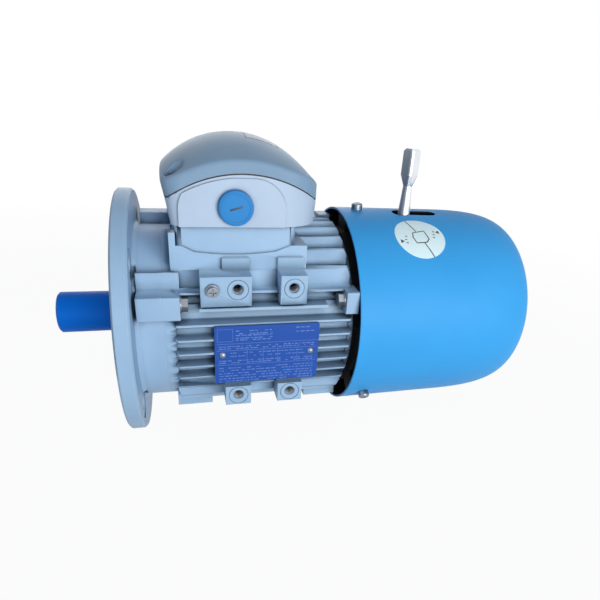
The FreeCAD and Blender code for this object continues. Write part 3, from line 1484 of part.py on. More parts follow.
parts = {
    "drive_end_shield": [drive_end_shield()],
    "motor_housing": [motor_housing()],
    "rear_shield": [rear_shield()],
    "front_shield_screws": shield_screws(seam_x + lug_len_housing, -1),
    "rear_shield_screws": shield_screws(rear_x - lug_len_rear, 1),
    "stator_core": [stator_core()],
    "stator_windings": [stator_windings()],
    "rotor_core": [rotor_core()],
    "rotor_cage": rotor_cage(),
    "motor_shaft": [shaft()],
    "shaft_key": [shaft_key()],
    "shaft_sleeve": [shaft_sleeve()],
    "front_bearing_outer": [ring_with_race(bearing_x, bearing_r, outer_ring_r)],
    "front_bearing_inner": [ring_with_race(bearing_x, inner_ring_r, journal_r)],
    "front_bearing_balls": bearing_balls(bearing_x),
    "rear_bearing_outer": [ring_with_race(rear_bearing_x, bearing_r, outer_ring_r)],
    "rear_bearing_inner": [ring_with_race(rear_bearing_x, inner_ring_r, journal_r)],
    "rear_bearing_balls": bearing_balls(rear_bearing_x),
    "bearing_shields": bearing_shields(),
    "shaft_seal": [tube(seal_end - seal_w, seal_end, seal_r, journal_r + seal_lip_gap)],
    "preload_washer": [tube(rear_bearing_x - preload_t, rear_bearing_x, bearing_r, outer_ring_r)],
    "bearing_circlip": [open_ring(rear_end + circlip_gap, circlip_t, bearing_r + circlip_bite,
                                  bearing_r + circlip_bite - circlip_w)],
    "brake_hub": [brake_hub()],
    "hub_key": [hub_key()],
    "friction_disc": [friction_disc()],
    "friction_linings": friction_linings(),
    "armature_plate": [armature_plate()],
    "magnet_body": [magnet_body()],
    "brake_coil": [brake_coil()],
    "brake_springs": brake_springs(),
    "brake_bolts": brake_bolts(),
    "spacer_sleeves": spacer_sleeves(),
    "release_studs": release_studs(),
    "release_yoke": [release_yoke()],
    "release_lever": [release_lever()],
    "cooling_fan": [cooling_fan()],
    "fan_circlip": [open_ring(clip_x, fan_clip_t, fan_shaft_r - circlip_bite + fan_clip_w,
                              fan_shaft_r - circlip_bite)],
    "fan_cowl": [fan_cowl()],
    "cowl_grille": [cowl_grille()],
    "cowl_screws": cowl_screws(),
    "terminal_box_base": [terminal_box_base()],
    "lid_gasket": [lid_gasket()],
    "terminal_box_lid": [terminal_box_lid()],
    "lid_screws": lid_screws(),
    "box_screws": box_screws(),
    "cable_plug_near": [cable_plug(-1)],
    "cable_plug_far": [cable_plug(1)],
    "terminal_block": [terminal_block()],
    "terminal_studs": terminal_studs(),
    "terminal_links": [terminal_links()],
    "rectifier": [rectifier()],
    "name_plate": [name_plate()],
    "plate_rivets": plate_rivets(),
    "earth_screw": earth_screw(),
}

for part_name, part_shapes in parts.items():
    save(part_name, part_shapes)
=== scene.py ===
import json
import logging
import math
import random
from dataclasses import dataclass, field
from enum import Enum
from typing import Any, Callable, Iterable

import bmesh
import bpy
from bmesh.types import BMesh, BMFace, BMVert
from bpy.types import NodeSocket, NodeTree
from mathutils import Matrix, Vector
from mathutils.bvhtree import BVHTree

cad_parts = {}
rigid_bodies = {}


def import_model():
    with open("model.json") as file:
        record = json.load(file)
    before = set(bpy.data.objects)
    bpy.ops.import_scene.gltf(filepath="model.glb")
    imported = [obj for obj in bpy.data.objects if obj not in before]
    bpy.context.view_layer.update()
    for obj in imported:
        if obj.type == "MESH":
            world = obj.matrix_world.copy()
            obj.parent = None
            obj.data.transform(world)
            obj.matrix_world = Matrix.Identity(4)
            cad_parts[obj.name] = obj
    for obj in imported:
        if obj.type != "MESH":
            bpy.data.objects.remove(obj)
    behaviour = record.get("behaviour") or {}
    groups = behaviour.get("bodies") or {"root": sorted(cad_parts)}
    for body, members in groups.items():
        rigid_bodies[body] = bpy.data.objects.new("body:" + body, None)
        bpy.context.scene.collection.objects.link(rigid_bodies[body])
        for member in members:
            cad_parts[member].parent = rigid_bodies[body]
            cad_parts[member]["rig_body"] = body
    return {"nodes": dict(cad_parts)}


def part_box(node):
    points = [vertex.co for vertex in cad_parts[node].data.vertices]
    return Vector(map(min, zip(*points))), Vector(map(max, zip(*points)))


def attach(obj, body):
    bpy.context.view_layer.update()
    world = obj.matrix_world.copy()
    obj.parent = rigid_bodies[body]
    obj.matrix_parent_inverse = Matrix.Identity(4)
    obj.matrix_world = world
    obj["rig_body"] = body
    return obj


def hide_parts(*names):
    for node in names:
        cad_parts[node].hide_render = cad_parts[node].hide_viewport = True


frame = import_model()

LOG = logging.getLogger("brake_motor")
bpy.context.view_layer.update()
MM = 0.001
# Points nearer to each other than this, in metres, are one point.
WELD = 0.000004
# Neighbouring faces that turn by less than this are one face.
FLAT_ANGLE = math.radians(0.2)
# Edges that turn by more than these are drawn sharp, or rounded where a piece asks for it.
SHARP_FROM_DEG = 35.0
ROUND_FROM_DEG = 40.0
BEVEL_SEGMENTS = 2
# Gap under a film, in millimetres, and the mark of a point on its underside.
FILM_GAP_MM = 0.02
UNDERSIDE = -1.0
SHAFT_AXIS = "X"
# Scale at which the wave texture draws one line in each unit of length.
WAVE_PERIOD = 2 * math.pi / 20
# Character of the tone's patches, of the fine relief and of drawn lines.
PATCH_NOISE = {"Detail": 3.0, "Roughness": 0.55}
GRAIN_NOISE = {"Detail": 2.0, "Roughness": 0.6}
LINE_WAVER = {"Distortion": 0.6, "Detail": 1.0}
# Heights of the relief at which a surface is smoothest and roughest.
SMOOTH_AT = 0.3
ROUGH_AT = 0.7
# Open share of a corner at which its painted shade starts, and at which the painted shade is darkest.
SHADE_STARTS = 0.78
SHADE_FULL = 0.25
SHADE_RAYS = 6
# Likeness of the rounded to the flat normal at which an edge's painted highlight starts, and is brightest.
HIGHLIGHT_STARTS = 0.985
HIGHLIGHT_FULL = 0.80
HIGHLIGHT_SHARE = 0.55
EDGE_RAYS = 4
WHITE = "#FFFFFF"
# The side of the name plate and the other one, as a sign along Y and as a word in names.
SIDES = ((-1, "near"), (1, "far"))


class Slot(Enum):
    """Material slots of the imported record."""

    CASTING_PAINT = "casting_paint"
    INNER_IRON = "inner_iron"
    COWL_PAINT = "cowl_paint"
    PLATE_METAL = "plate_metal"
    BRIGHT_STEEL = "bright_steel"
    ZINC_STEEL = "zinc_steel"
    CORE_STEEL = "core_steel"
    SPRING_STEEL = "spring_steel"
    COPPER = "copper"
    BRASS = "brass"
    CAGE_METAL = "cage_metal"
    BLUE_PLASTIC = "blue_plastic"
    ENTRY_PLASTIC = "entry_plastic"
    BLACK_PLASTIC = "black_plastic"
    RESIN = "resin"
    FRICTION_LINING = "friction_lining"
    SEAL_RUBBER = "seal_rubber"


class Body(Enum):
    """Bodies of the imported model."""

    STATOR = "stator"
    ROTOR = "rotor"
    ARMATURE = "armature"
    LEVER = "release_lever"
    SLEEVE = "shaft_sleeve"


def linear(code: str) -> tuple[float, float, float, float]:
    """Turn an sRGB hex colour into linear light.

    Args:
        code: colour as "#RRGGBB".

    Returns:
        Red, green, blue and an alpha of one.
    """
    parts = [int(code[i:i + 2], 16) / 255 for i in (1, 3, 5)]
    light = [c / 12.92 if c <= 0.04045 else ((c + 0.055) / 1.055) ** 2.4 for c in parts]
    return light[0], light[1], light[2], 1.0


def add_node(tree: NodeTree, kind: str, inputs: dict[Any, Any] | None = None,
             **settings: Any) -> bpy.types.Node:
    """Add a node with its settings and links.

    Args:
        tree: node tree that gets the node.
        kind: Blender's name of the node type.
        inputs: value or output socket for each input, by name or number.
        settings: properties of the node itself.

    Returns:
        The new node.
    """
    node = tree.nodes.new(kind)
    for key, value in settings.items():
        setattr(node, key, value)
    for key, value in (inputs or {}).items():
        if isinstance(value, NodeSocket):
            tree.links.new(value, node.inputs[key])
        else:
            node.inputs[key].default_value = value
    return node


def empty_tree(block: bpy.types.Material | bpy.types.World) -> NodeTree:
    """Node tree of a new material or world, with nothing in it."""
    block.use_nodes = True
    block.node_tree.nodes.clear()
    return block.node_tree


@dataclass(frozen=True)
class Finish:
    """A surface finish with the detail that its making leaves.

    The tone wanders between two colours in patches and the grain raises a fine relief; painted shade
    darkens the corners and a painted highlight can lighten the edges.
    """

    name: str
    colour: str
    second: str
    roughness: float
    metallic: float = 0.0
    ior: float = 1.5
    specular: float = 0.5
    patch_mm: float = 22.0
    grain_mm: float = 1.0
    grain_depth_mm: float = 0.02
    stretch: tuple[float, float, float] = (1.0, 1.0, 1.0)
    rough_spread: float = 0.06
    edge_mm: float = 0.0
    # Colour of the painted highlight on the edges; none if empty.
    edge: str = ""
    # Colour, reach and share of the painted shade in corners, and the reach of a second, tighter painted
    # shade in creases.
    corner_shade: str = ""
    corner_shade_mm: float = 9.0
    corner_shade_share: float = 0.8
    crease_shade_mm: float = 0.0

    def material(self) -> bpy.types.Material:
        """The material of this finish, made at its first use."""
        return bpy.data.materials.get(self.name) or self._build()

    def tone(self, tree: NodeTree, place: NodeSocket) -> NodeSocket:
        """Base colour of the surface.

        Args:
            tree: node tree of the material.
            place: object coordinates, stretched along the grain.

        Returns:
            Colour socket.
        """
        patches = add_node(tree, "ShaderNodeTexNoise", {
            "Vector": place, "Scale": 1 / (self.patch_mm * MM), **PATCH_NOISE})
        return add_node(tree, "ShaderNodeMix", {
            0: patches.outputs["Fac"], 6: linear(self.colour), 7: linear(self.second)},
            data_type="RGBA").outputs[2]

    def relief(self, tree: NodeTree, place: NodeSocket) -> NodeSocket:
        """Height of the fine relief, from nought to one.

        Args:
            tree: node tree of the material.
            place: object coordinates, stretched along the grain.

        Returns:
            Value socket.
        """
        return add_node(tree, "ShaderNodeTexNoise", {
            "Vector": place, "Scale": 1 / (self.grain_mm * MM), **GRAIN_NOISE}).outputs["Fac"]

    def paint_shade(self, tree: NodeTree, colour: NodeSocket, reach_mm: float) -> NodeSocket:
        """Paint shade into the corners that other surfaces shade.

        Args:
            tree: node tree of the material.
            colour: colour of the open surface.
            reach_mm: how far off a surface may be to shade a corner.

        Returns:
            Colour socket.
        """
        open_share = add_node(tree, "ShaderNodeAmbientOcclusion", {
            "Distance": reach_mm * MM}, samples=SHADE_RAYS).outputs["AO"]
        hidden = add_node(tree, "ShaderNodeMapRange", {
            "Value": open_share, "From Min": SHADE_STARTS, "From Max": SHADE_FULL,
            "To Max": self.corner_shade_share}).outputs[0]
        return add_node(tree, "ShaderNodeMix", {0: hidden, 6: colour, 7: linear(self.corner_shade)},
                        data_type="RGBA").outputs[2]

    def paint_highlight(self, tree: NodeTree, colour: NodeSocket, soft: NodeSocket) -> NodeSocket:
        """Paint a highlight on the edges, where the rounded normal turns away from the flat one.

        Args:
            tree: node tree of the material.
            colour: colour of the flat surface.
            soft: normal of the surface with its edges rounded.

        Returns:
            Colour socket.
        """
        flat = add_node(tree, "ShaderNodeNewGeometry").outputs["Normal"]
        likeness = add_node(tree, "ShaderNodeVectorMath", {0: soft, 1: flat},
                            operation="DOT_PRODUCT").outputs["Value"]
        highlit = add_node(tree, "ShaderNodeMapRange", {
            "Value": likeness, "From Min": HIGHLIGHT_STARTS, "From Max": HIGHLIGHT_FULL,
            "To Max": HIGHLIGHT_SHARE}).outputs[0]
        return add_node(tree, "ShaderNodeMix", {0: highlit, 6: colour, 7: linear(self.edge)},
                        data_type="RGBA").outputs[2]

    def _build(self) -> bpy.types.Material:
        """Make the material's nodes.

        Returns:
            The new material.
        """
        material = bpy.data.materials.new(self.name)
        tree = empty_tree(material)
        coordinates = add_node(tree, "ShaderNodeTexCoord").outputs["Object"]
        place = add_node(tree, "ShaderNodeMapping", {"Vector": coordinates, "Scale": self.stretch}).outputs[0]
        colour = self.tone(tree, place)
        height = self.relief(tree, place)
        bump_inputs: dict[str, Any] = {
            "Height": height, "Distance": self.grain_depth_mm * MM, "Strength": 1.0}
        if self.edge_mm:
            soft = add_node(tree, "ShaderNodeBevel", {"Radius": self.edge_mm * MM},
                            samples=EDGE_RAYS).outputs[0]
            bump_inputs["Normal"] = soft
            # Painted highlight on the rounded edges.
            if self.edge:
                colour = self.paint_highlight(tree, colour, soft)
        # Painted shade in corners and creases.
        for reach_mm in (self.corner_shade_mm, self.crease_shade_mm):
            if self.corner_shade and reach_mm:
                colour = self.paint_shade(tree, colour, reach_mm)
        rough = add_node(tree, "ShaderNodeMapRange", {
            "Value": height, "From Min": SMOOTH_AT, "From Max": ROUGH_AT,
            "To Min": self.roughness - self.rough_spread,
            "To Max": self.roughness + self.rough_spread}).outputs[0]
        normal = add_node(tree, "ShaderNodeBump", bump_inputs).outputs[0]
        shader_inputs: dict[str, Any] = {
            "Base Color": colour, "Metallic": self.metallic, "Roughness": rough, "Normal": normal}
        if not self.metallic:
            shader_inputs["IOR"] = self.ior
            shader_inputs["Specular IOR Level"] = self.specular
        shader = add_node(tree, "ShaderNodeBsdfPrincipled", shader_inputs)
        add_node(tree, "ShaderNodeOutputMaterial", {"Surface": shader.outputs[0]})
        return material


@dataclass(frozen=True)
class StripedFinish(Finish):
    """A finish drawn in fine parallel lines or rings, such as sheets in a stack or a lathe's marks."""

    line_mm: float = 1.0
    rings: bool = False

    def relief(self, tree: NodeTree, place: NodeSocket) -> NodeSocket:
        """Height of the lines, from nought to one.

        Args:
            tree: node tree of the material.
            place: object coordinates, stretched along the grain.

        Returns:
            Value socket.
        """
        kind = {"wave_type": "RINGS", "rings_direction": SHAFT_AXIS} if self.rings else {
            "wave_type": "BANDS", "bands_direction": SHAFT_AXIS}
        return add_node(tree, "ShaderNodeTexWave", {
            "Vector": place, "Scale": WAVE_PERIOD / (self.line_mm * MM), **LINE_WAVER},
            **kind).outputs["Fac"]


# Stove enamel on die-cast aluminium: a blue-grey film with faint orange peel, painted shade in the corners
# and creases, and a painted highlight on the edges.
CAST_ENAMEL = Finish("blue_grey_enamel_on_die_cast_aluminium", "#A2C1DD", "#90B0CE", 0.46, specular=0.28,
                     patch_mm=26.0, grain_mm=1.3, grain_depth_mm=0.035, edge_mm=0.7, edge="#D2E6F5",
                     corner_shade="#0F2136", corner_shade_mm=10.0, corner_shade_share=0.9, crease_shade_mm=1.6)
# The same enamel on the lid, darkened all over as painted shade, with less painted shade in its corners and a
# painted highlight on its edges.
LID_ENAMEL_AS_SHADE = Finish("blue_grey_enamel_darkened_as_shade_on_lid", "#86A3BD", "#7895AE", 0.44, specular=0.15, patch_mm=30.0,
                    grain_mm=1.1, grain_depth_mm=0.03, edge_mm=0.9, edge="#B9D2E6", corner_shade="#1E3146",
                    corner_shade_mm=5.0, crease_shade_mm=1.4)
# The same enamel on the box, which looks paler and less blue than the housing, with painted shade in its
# corners and creases and a painted highlight on its edges.
BOX_ENAMEL = Finish("pale_blue_grey_enamel_on_box", "#B8CBDF", "#AABDD2", 0.46, specular=0.28, patch_mm=26.0,
                    grain_mm=1.3, grain_depth_mm=0.035, edge_mm=0.7, edge="#DCE9F5", corner_shade="#14263A",
                    corner_shade_mm=8.0, corner_shade_share=0.9, crease_shade_mm=1.6)
# Aluminium turned on a lathe: bright bare metal with fine rings, drawn 0.9 mm apart so that they show.
TURNED_ALUMINIUM = StripedFinish("turned_bare_aluminium", "#B4B8BC", "#A3A8AD", 0.36, metallic=1.0,
                                 grain_depth_mm=0.008, line_mm=0.9, rings=True, patch_mm=14.0)
# Powder coat on pressed sheet steel: satin azure with a soft, even orange peel and a painted highlight on its
# edges.
COWL_COAT = Finish("azure_powder_coat_on_sheet_steel", "#41A5E7", "#3A9DDF", 0.46, specular=0.12,
                   patch_mm=40.0, grain_mm=1.6, grain_depth_mm=0.03, edge_mm=0.5, edge="#66BDF4")
# Flat black painted shade inside the cowl, on the cut edges of the lever slot and on the rear shield, so that
# the gap at the rim reads black.
SHADE_BLACK = Finish("shade_black_paint", "#07090C", "#0B0E12", 0.70, specular=0.15, patch_mm=18.0,
                      grain_mm=2.0, grain_depth_mm=0.03)
# Zinc-plated steel of screws, rivets, sleeves and the release inside: pale, slightly cloudy metal.
ZINC = Finish("zinc_plated_steel", "#8F979F", "#6E7680", 0.38, metallic=1.0, patch_mm=3.0, grain_mm=0.6,
              grain_depth_mm=0.006, edge_mm=0.25)
# Bright metal with a faint waviness: the bearing balls, and the hand lever's faces other than those facing
# -X, as a painted highlight on its lit side.
LIT_LEVER_AND_BALL_STEEL = Finish("lit_lever_side_and_ball_steel", "#EEF1F4", "#D8DDE3", 0.26, metallic=0.9, patch_mm=9.0,
                       grain_mm=5.0, grain_depth_mm=0.008, rough_spread=0.04)
# The hand lever's faces that face -X: dull grey metal as painted shade on its shaded side.
LEVER_SHADED_SIDE = Finish("lever_side_in_painted_shade", "#9299A5", "#7A8291", 0.48, metallic=0.7, patch_mm=6.0,
                      grain_mm=1.2, grain_depth_mm=0.02)
# Ground steel of shaft, keys and bearings: clean grey metal, its fine marks drawn 0.7 mm apart to show.
GROUND_STEEL = StripedFinish("ground_bearing_steel", "#9EA3A9", "#8B9198", 0.26, metallic=1.0,
                             grain_depth_mm=0.003, line_mm=0.7)
# Turned or tapped metal, unpainted, of the brake and the pad holes: dull, with a fine grain and a painted
# highlight on its edges.
BARE_MACHINED = Finish("bare_machined_casting", "#A7ADB3", "#8D9399", 0.42, metallic=1.0, patch_mm=8.0,
                       grain_mm=0.8, grain_depth_mm=0.03, edge_mm=0.4, edge="#C6CBD0")
# Stacked electrical sheet: blue-black steel in thin layers, drawn as coarse as 1.2 mm so that they show.
SHEET_STACK = StripedFinish("stacked_electrical_sheet", "#5A606B", "#484E59", 0.42, metallic=1.0,
                            grain_depth_mm=0.05, line_mm=1.2, patch_mm=12.0)
# Enamelled copper wire laid round the core: red-brown gloss in strands, drawn 1.1 mm wide.
WOUND_COPPER = StripedFinish("enamelled_copper_wire", "#B4602E", "#8F4520", 0.30, metallic=1.0,
                             grain_depth_mm=0.25, line_mm=1.1, rings=True, patch_mm=6.0)
# Spring steel: dark oiled wire and rings.
OILED_STEEL = Finish("oiled_spring_steel", "#50555C", "#3E4349", 0.35, metallic=1.0, patch_mm=4.0,
                     grain_mm=0.8, grain_depth_mm=0.006)
# Brass of the terminal studs: warm yellow metal.
BRASS = Finish("machined_brass", "#D0A650", "#B98D3C", 0.28, metallic=1.0, patch_mm=4.0, grain_mm=0.5,
               grain_depth_mm=0.005, edge_mm=0.2)
# Die-cast aluminium of the cage: pale, grainy metal.
CAGE_CASTING = Finish("pressure_cast_aluminium", "#B7BBBF", "#A3A8AD", 0.45, metallic=1.0, patch_mm=7.0,
                      grain_mm=0.7, grain_depth_mm=0.03)
# Polyethylene guard on the shaft: deep blue, slightly waxy, with faint moulding streaks.
SLEEVE_PLASTIC = Finish("blue_polyethylene", "#026FDB", "#0263C9", 0.44, ior=1.51, specular=0.1,
                        patch_mm=12.0, grain_mm=0.9, grain_depth_mm=0.015, stretch=(0.25, 1.0, 1.0),
                        edge_mm=0.5)
# Polyamide of the cable plugs: bright blue with a fine spark-eroded grain, painted shade in its corners and a
# painted highlight on its edges.
PLUG_PLASTIC = Finish("blue_polyamide", "#2686CC", "#207EC2", 0.45, ior=1.53, specular=0.2, patch_mm=10.0,
                      grain_mm=0.5, grain_depth_mm=0.02, edge_mm=0.3, edge="#5FB0EA", corner_shade="#0E3560",
                      corner_shade_mm=4.0)
# Glass-filled polyamide of fan and terminal block: black with a fine moulded grain and a painted highlight on
# its edges.
BLACK_PLASTIC = Finish("black_glass_filled_polyamide", "#1B1D20", "#23262A", 0.50, ior=1.53, patch_mm=15.0,
                       grain_mm=0.7, grain_depth_mm=0.03, edge_mm=0.3, edge="#34383D")
# Casting resin of coil and rectifier: dark blue-black, smooth and slightly glossy.
RESIN = Finish("potting_resin", "#22262E", "#1A1D24", 0.30, ior=1.55, patch_mm=9.0, grain_mm=1.5,
               grain_depth_mm=0.02)
# Pressed friction lining: brown-grey, with specks of fibre and metal.
LINING = Finish("pressed_friction_lining", "#4A4039", "#6B5F55", 0.80, patch_mm=1.2, grain_mm=0.6,
                grain_depth_mm=0.06)
# Nitrile rubber of gasket and seal: flat black with a soft sheen.
RUBBER = Finish("nitrile_rubber", "#1C1E21", "#25282C", 0.65, ior=1.52, patch_mm=8.0, grain_mm=0.8,
                grain_depth_mm=0.02)
# Anodised aluminium plate dyed royal blue: smooth and satin, with faint rolling streaks and a painted
# highlight on its edges.
PLATE_DYE = Finish("blue_anodised_aluminium", "#2455AB", "#1C499C", 0.40, specular=0.25, patch_mm=16.0,
                   grain_mm=0.5, grain_depth_mm=0.004, stretch=(0.15, 1.0, 1.0), edge_mm=0.3, edge="#5C7DC4")
# Lines etched into the plate's dye: pale silver-blue.
PLATE_LINES = Finish("etched_bare_lines", "#6D8BCB", "#4F70B8", 0.45, specular=0.3, patch_mm=2.4,
                     grain_mm=0.4, grain_depth_mm=0.003)
# Vinyl film of the round sticker: pale ice-blue white with a soft gloss.
STICKER_FILM = Finish("pale_vinyl_film", "#EAFDFF", "#DDF6FC", 0.40, specular=0.25, patch_mm=14.0,
                      grain_mm=1.5, grain_depth_mm=0.008)
# Metallised polyester of the bare label on the lid: matt silver-grey and faintly rippled.
LABEL_FILM = Finish("metallised_polyester_film", "#A6B7CC", "#8A9CB4", 0.40, specular=0.1, patch_mm=6.0,
                    grain_mm=2.0, grain_depth_mm=0.02)
# Dark ink of the sticker's print, the label's edge and the bars on the plugs: soft dark grey.
DARK_INK = Finish("dark_printing_ink", "#2B3138", "#353C44", 0.45, patch_mm=3.0, grain_mm=0.5,
                  grain_depth_mm=0.003)


def finished_piece(form: BMesh, name: str, body: Body, finish: Finish,
                   sharp_deg: float = SHARP_FROM_DEG, outward: bool = True) -> bpy.types.Object:
    """Turn a bmesh into a dressed piece that rides on a body.

    Args:
        form: the shape in the row frame, in metres; it is freed.
        name: name of the piece.
        body: body that carries it.
        finish: surface finish.
        sharp_deg: edges that turn by more than this stay sharp.
        outward: whether the normals are worked out anew.

    Returns:
        The new object.
    """
    if outward:
        bmesh.ops.recalc_face_normals(form, faces=form.faces)
    mesh = bpy.data.meshes.new(name)
    form.to_mesh(mesh)
    form.free()
    mesh.shade_smooth()
    mesh.set_sharp_from_angle(angle=math.radians(sharp_deg))
    mesh.materials.append(finish.material())
    piece = bpy.data.objects.new(name, mesh)
    bpy.context.scene.collection.objects.link(piece)
    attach(piece, body.value)
    LOG.info("made %s", name)
    return piece


def body_of_node(node: str) -> Body:
    """Body that a CAD node belongs to."""
    return Body(frame["nodes"][node]["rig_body"])


def soften_edges(piece: bpy.types.Object, width_mm: float) -> None:
    """Round a piece's sharp edges with a modifier.

    Args:
        piece: object that gets the modifier.
        width_mm: width of the rounding.
    """
    bevel = piece.modifiers.new("soft_edges", "BEVEL")
    bevel.width = width_mm * MM
    bevel.segments = BEVEL_SEGMENTS
    bevel.limit_method = "ANGLE"
    bevel.angle_limit = math.radians(ROUND_FROM_DEG)
    bevel.harden_normals = True


@dataclass(frozen=True)
class Coat:
    """How one CAD node is dressed, with a second finish on the faces that a test picks."""

    node: str
    slot: Slot
    finish: Finish
    soft_mm: float = 0.0
    sharp_deg: float = SHARP_FROM_DEG
    second: Finish | None = None
    where: Callable[[BMFace], bool] | None = None

    def apply(self) -> None:
        """Put a merged, smooth copy in the node's place and give it its finish."""
        form = bmesh.new()
        form.from_mesh(frame["nodes"][self.node].data)
        bmesh.ops.remove_doubles(form, verts=form.verts, dist=WELD)
        bmesh.ops.dissolve_limit(form, angle_limit=FLAT_ANGLE, verts=form.verts, edges=form.edges)
        if self.where is not None:
            for face in form.faces:
                face.material_index = int(self.where(face))
        piece = finished_piece(form, self.node + "_finished", body_of_node(self.node), self.finish,
                               self.sharp_deg, outward=False)
        if self.second is not None:
            piece.data.materials.append(self.second.material())
        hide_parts(self.node)
        if self.soft_mm:
            soften_edges(piece, self.soft_mm)
        even = piece.modifiers.new("even_shading", "WEIGHTED_NORMAL")
        even.keep_sharp = True


def dress(coats: Iterable[Coat]) -> None:
    """Dress a group of CAD nodes.

    Args:
        coats: the nodes' coats, in the order in which they are put on.
    """
    for coat in coats:
        coat.apply()


def alike(slot: Slot, finish: Finish, *nodes: str) -> list[Coat]:
    """One and the same plain coat for each of several nodes."""
    return [Coat(node, slot, finish) for node in nodes]


def bar(form: BMesh, low: Vector, high: Vector, edge: float = 0.0) -> list[BMVert]:
    """Add a straight-sided bar between two corners.

    Args:
        form: bmesh that gets it.
        low: lowest corner, in metres.
        high: highest corner, in metres.
        edge: width of the bevel on its edges, in metres.

    Returns:
        The bar's vertices.
    """
    size = high - low
    place = Matrix.Translation((low + high) / 2) @ Matrix.Diagonal((*size, 1.0))
    made = bmesh.ops.create_cube(form, size=1.0, matrix=place)["verts"]
    if edge:
        edges = list({e for v in made for e in v.link_edges})
        made = bmesh.ops.bevel(form, geom=edges, offset=edge, affect="EDGES", segments=BEVEL_SEGMENTS,
                               profile=0.5, material=-1)["verts"]
    return made


def turned_form(form: BMesh, outline: list[tuple[float, float]], steps: int = 48,
                closed: bool = False) -> list[BMVert]:
    """Spin an outline of (height, radius) in millimetres about the Z axis.

    Args:
        form: bmesh that gets the shape.
        outline: its points, from one end to the other.
        steps: facets round the axis.
        closed: whether the outline is a ring that doesn't meet the axis.

    Returns:
        Vertices of the shape.
    """
    verts = [form.verts.new((r * MM, 0, h * MM)) for h, r in outline]
    pairs = list(zip(verts, verts[1:])) + ([(verts[-1], verts[0])] if closed else [])
    edges = [form.edges.new(pair) for pair in pairs]
    before = set(form.verts) - set(verts)
    bmesh.ops.spin(form, geom=verts + edges, cent=(0, 0, 0), axis=(0, 0, 1), angle=math.tau, steps=steps,
                   use_merge=True, use_duplicate=False)
    made = [v for v in form.verts if v not in before]
    bmesh.ops.remove_doubles(form, verts=made, dist=WELD)
    return [v for v in form.verts if v not in before]


class Probe:
    """Finds the outer surface of a CAD node along a line."""

    def __init__(self, node: str) -> None:
        """Read the node's faces."""
        mesh = frame["nodes"][node].data
        self.tree = BVHTree.FromPolygons([v.co for v in mesh.vertices], [p.vertices for p in mesh.polygons])

    def hit(self, start: Vector, direction: Vector) -> Vector:
        """First point of the surface from a start along a direction."""
        found = self.tree.ray_cast(start, direction)[0]
        return found if found is not None else start


def lay_on(form: BMesh, probe: Probe, way: Callable[[Vector], tuple[Vector, Vector]],
           low_mm: float, high_mm: float) -> None:
    """Lay a flat form on a surface and give it its thickness.

    Args:
        form: flat form on its own plan, facing Z.
        probe: probe of the node that it lies on.
        way: for a place on the plan, a point well above the surface and the direction outwards.
        low_mm: height of its underside above the surface.
        high_mm: height of its face above the surface.
    """
    made = bmesh.ops.extrude_face_region(form, geom=form.faces[:])["geom"]
    for vert in made:
        if isinstance(vert, BMVert):
            vert.co.z = UNDERSIDE
    for vert in form.verts:
        above, outward = way(vert.co)
        height = low_mm if vert.co.z == UNDERSIDE else high_mm
        vert.co = probe.hit(above, -outward) + outward * height * MM


@dataclass
class FlangeEnd:
    """Drive-end shield with its flange, screws and seal."""

    turned_to_mm: float = 0.3
    turned_normal_x: float = -0.95

    def build(self) -> None:
        """Dress the shield, its screws and its seal."""
        dress([
            Coat("drive_end_shield", Slot.CASTING_PAINT, CAST_ENAMEL, second=TURNED_ALUMINIUM,
                 where=self.turned),
            Coat("front_shield_screws", Slot.ZINC_STEEL, ZINC),
            Coat("shaft_seal", Slot.SEAL_RUBBER, RUBBER),
        ])

    def turned(self, face: BMFace) -> bool:
        """Whether a face of the shield is turned bare, as the fronts of flange and spigot are."""
        ahead = face.calc_center_median().x < self.turned_to_mm * MM
        return face.normal.x < self.turned_normal_x and ahead


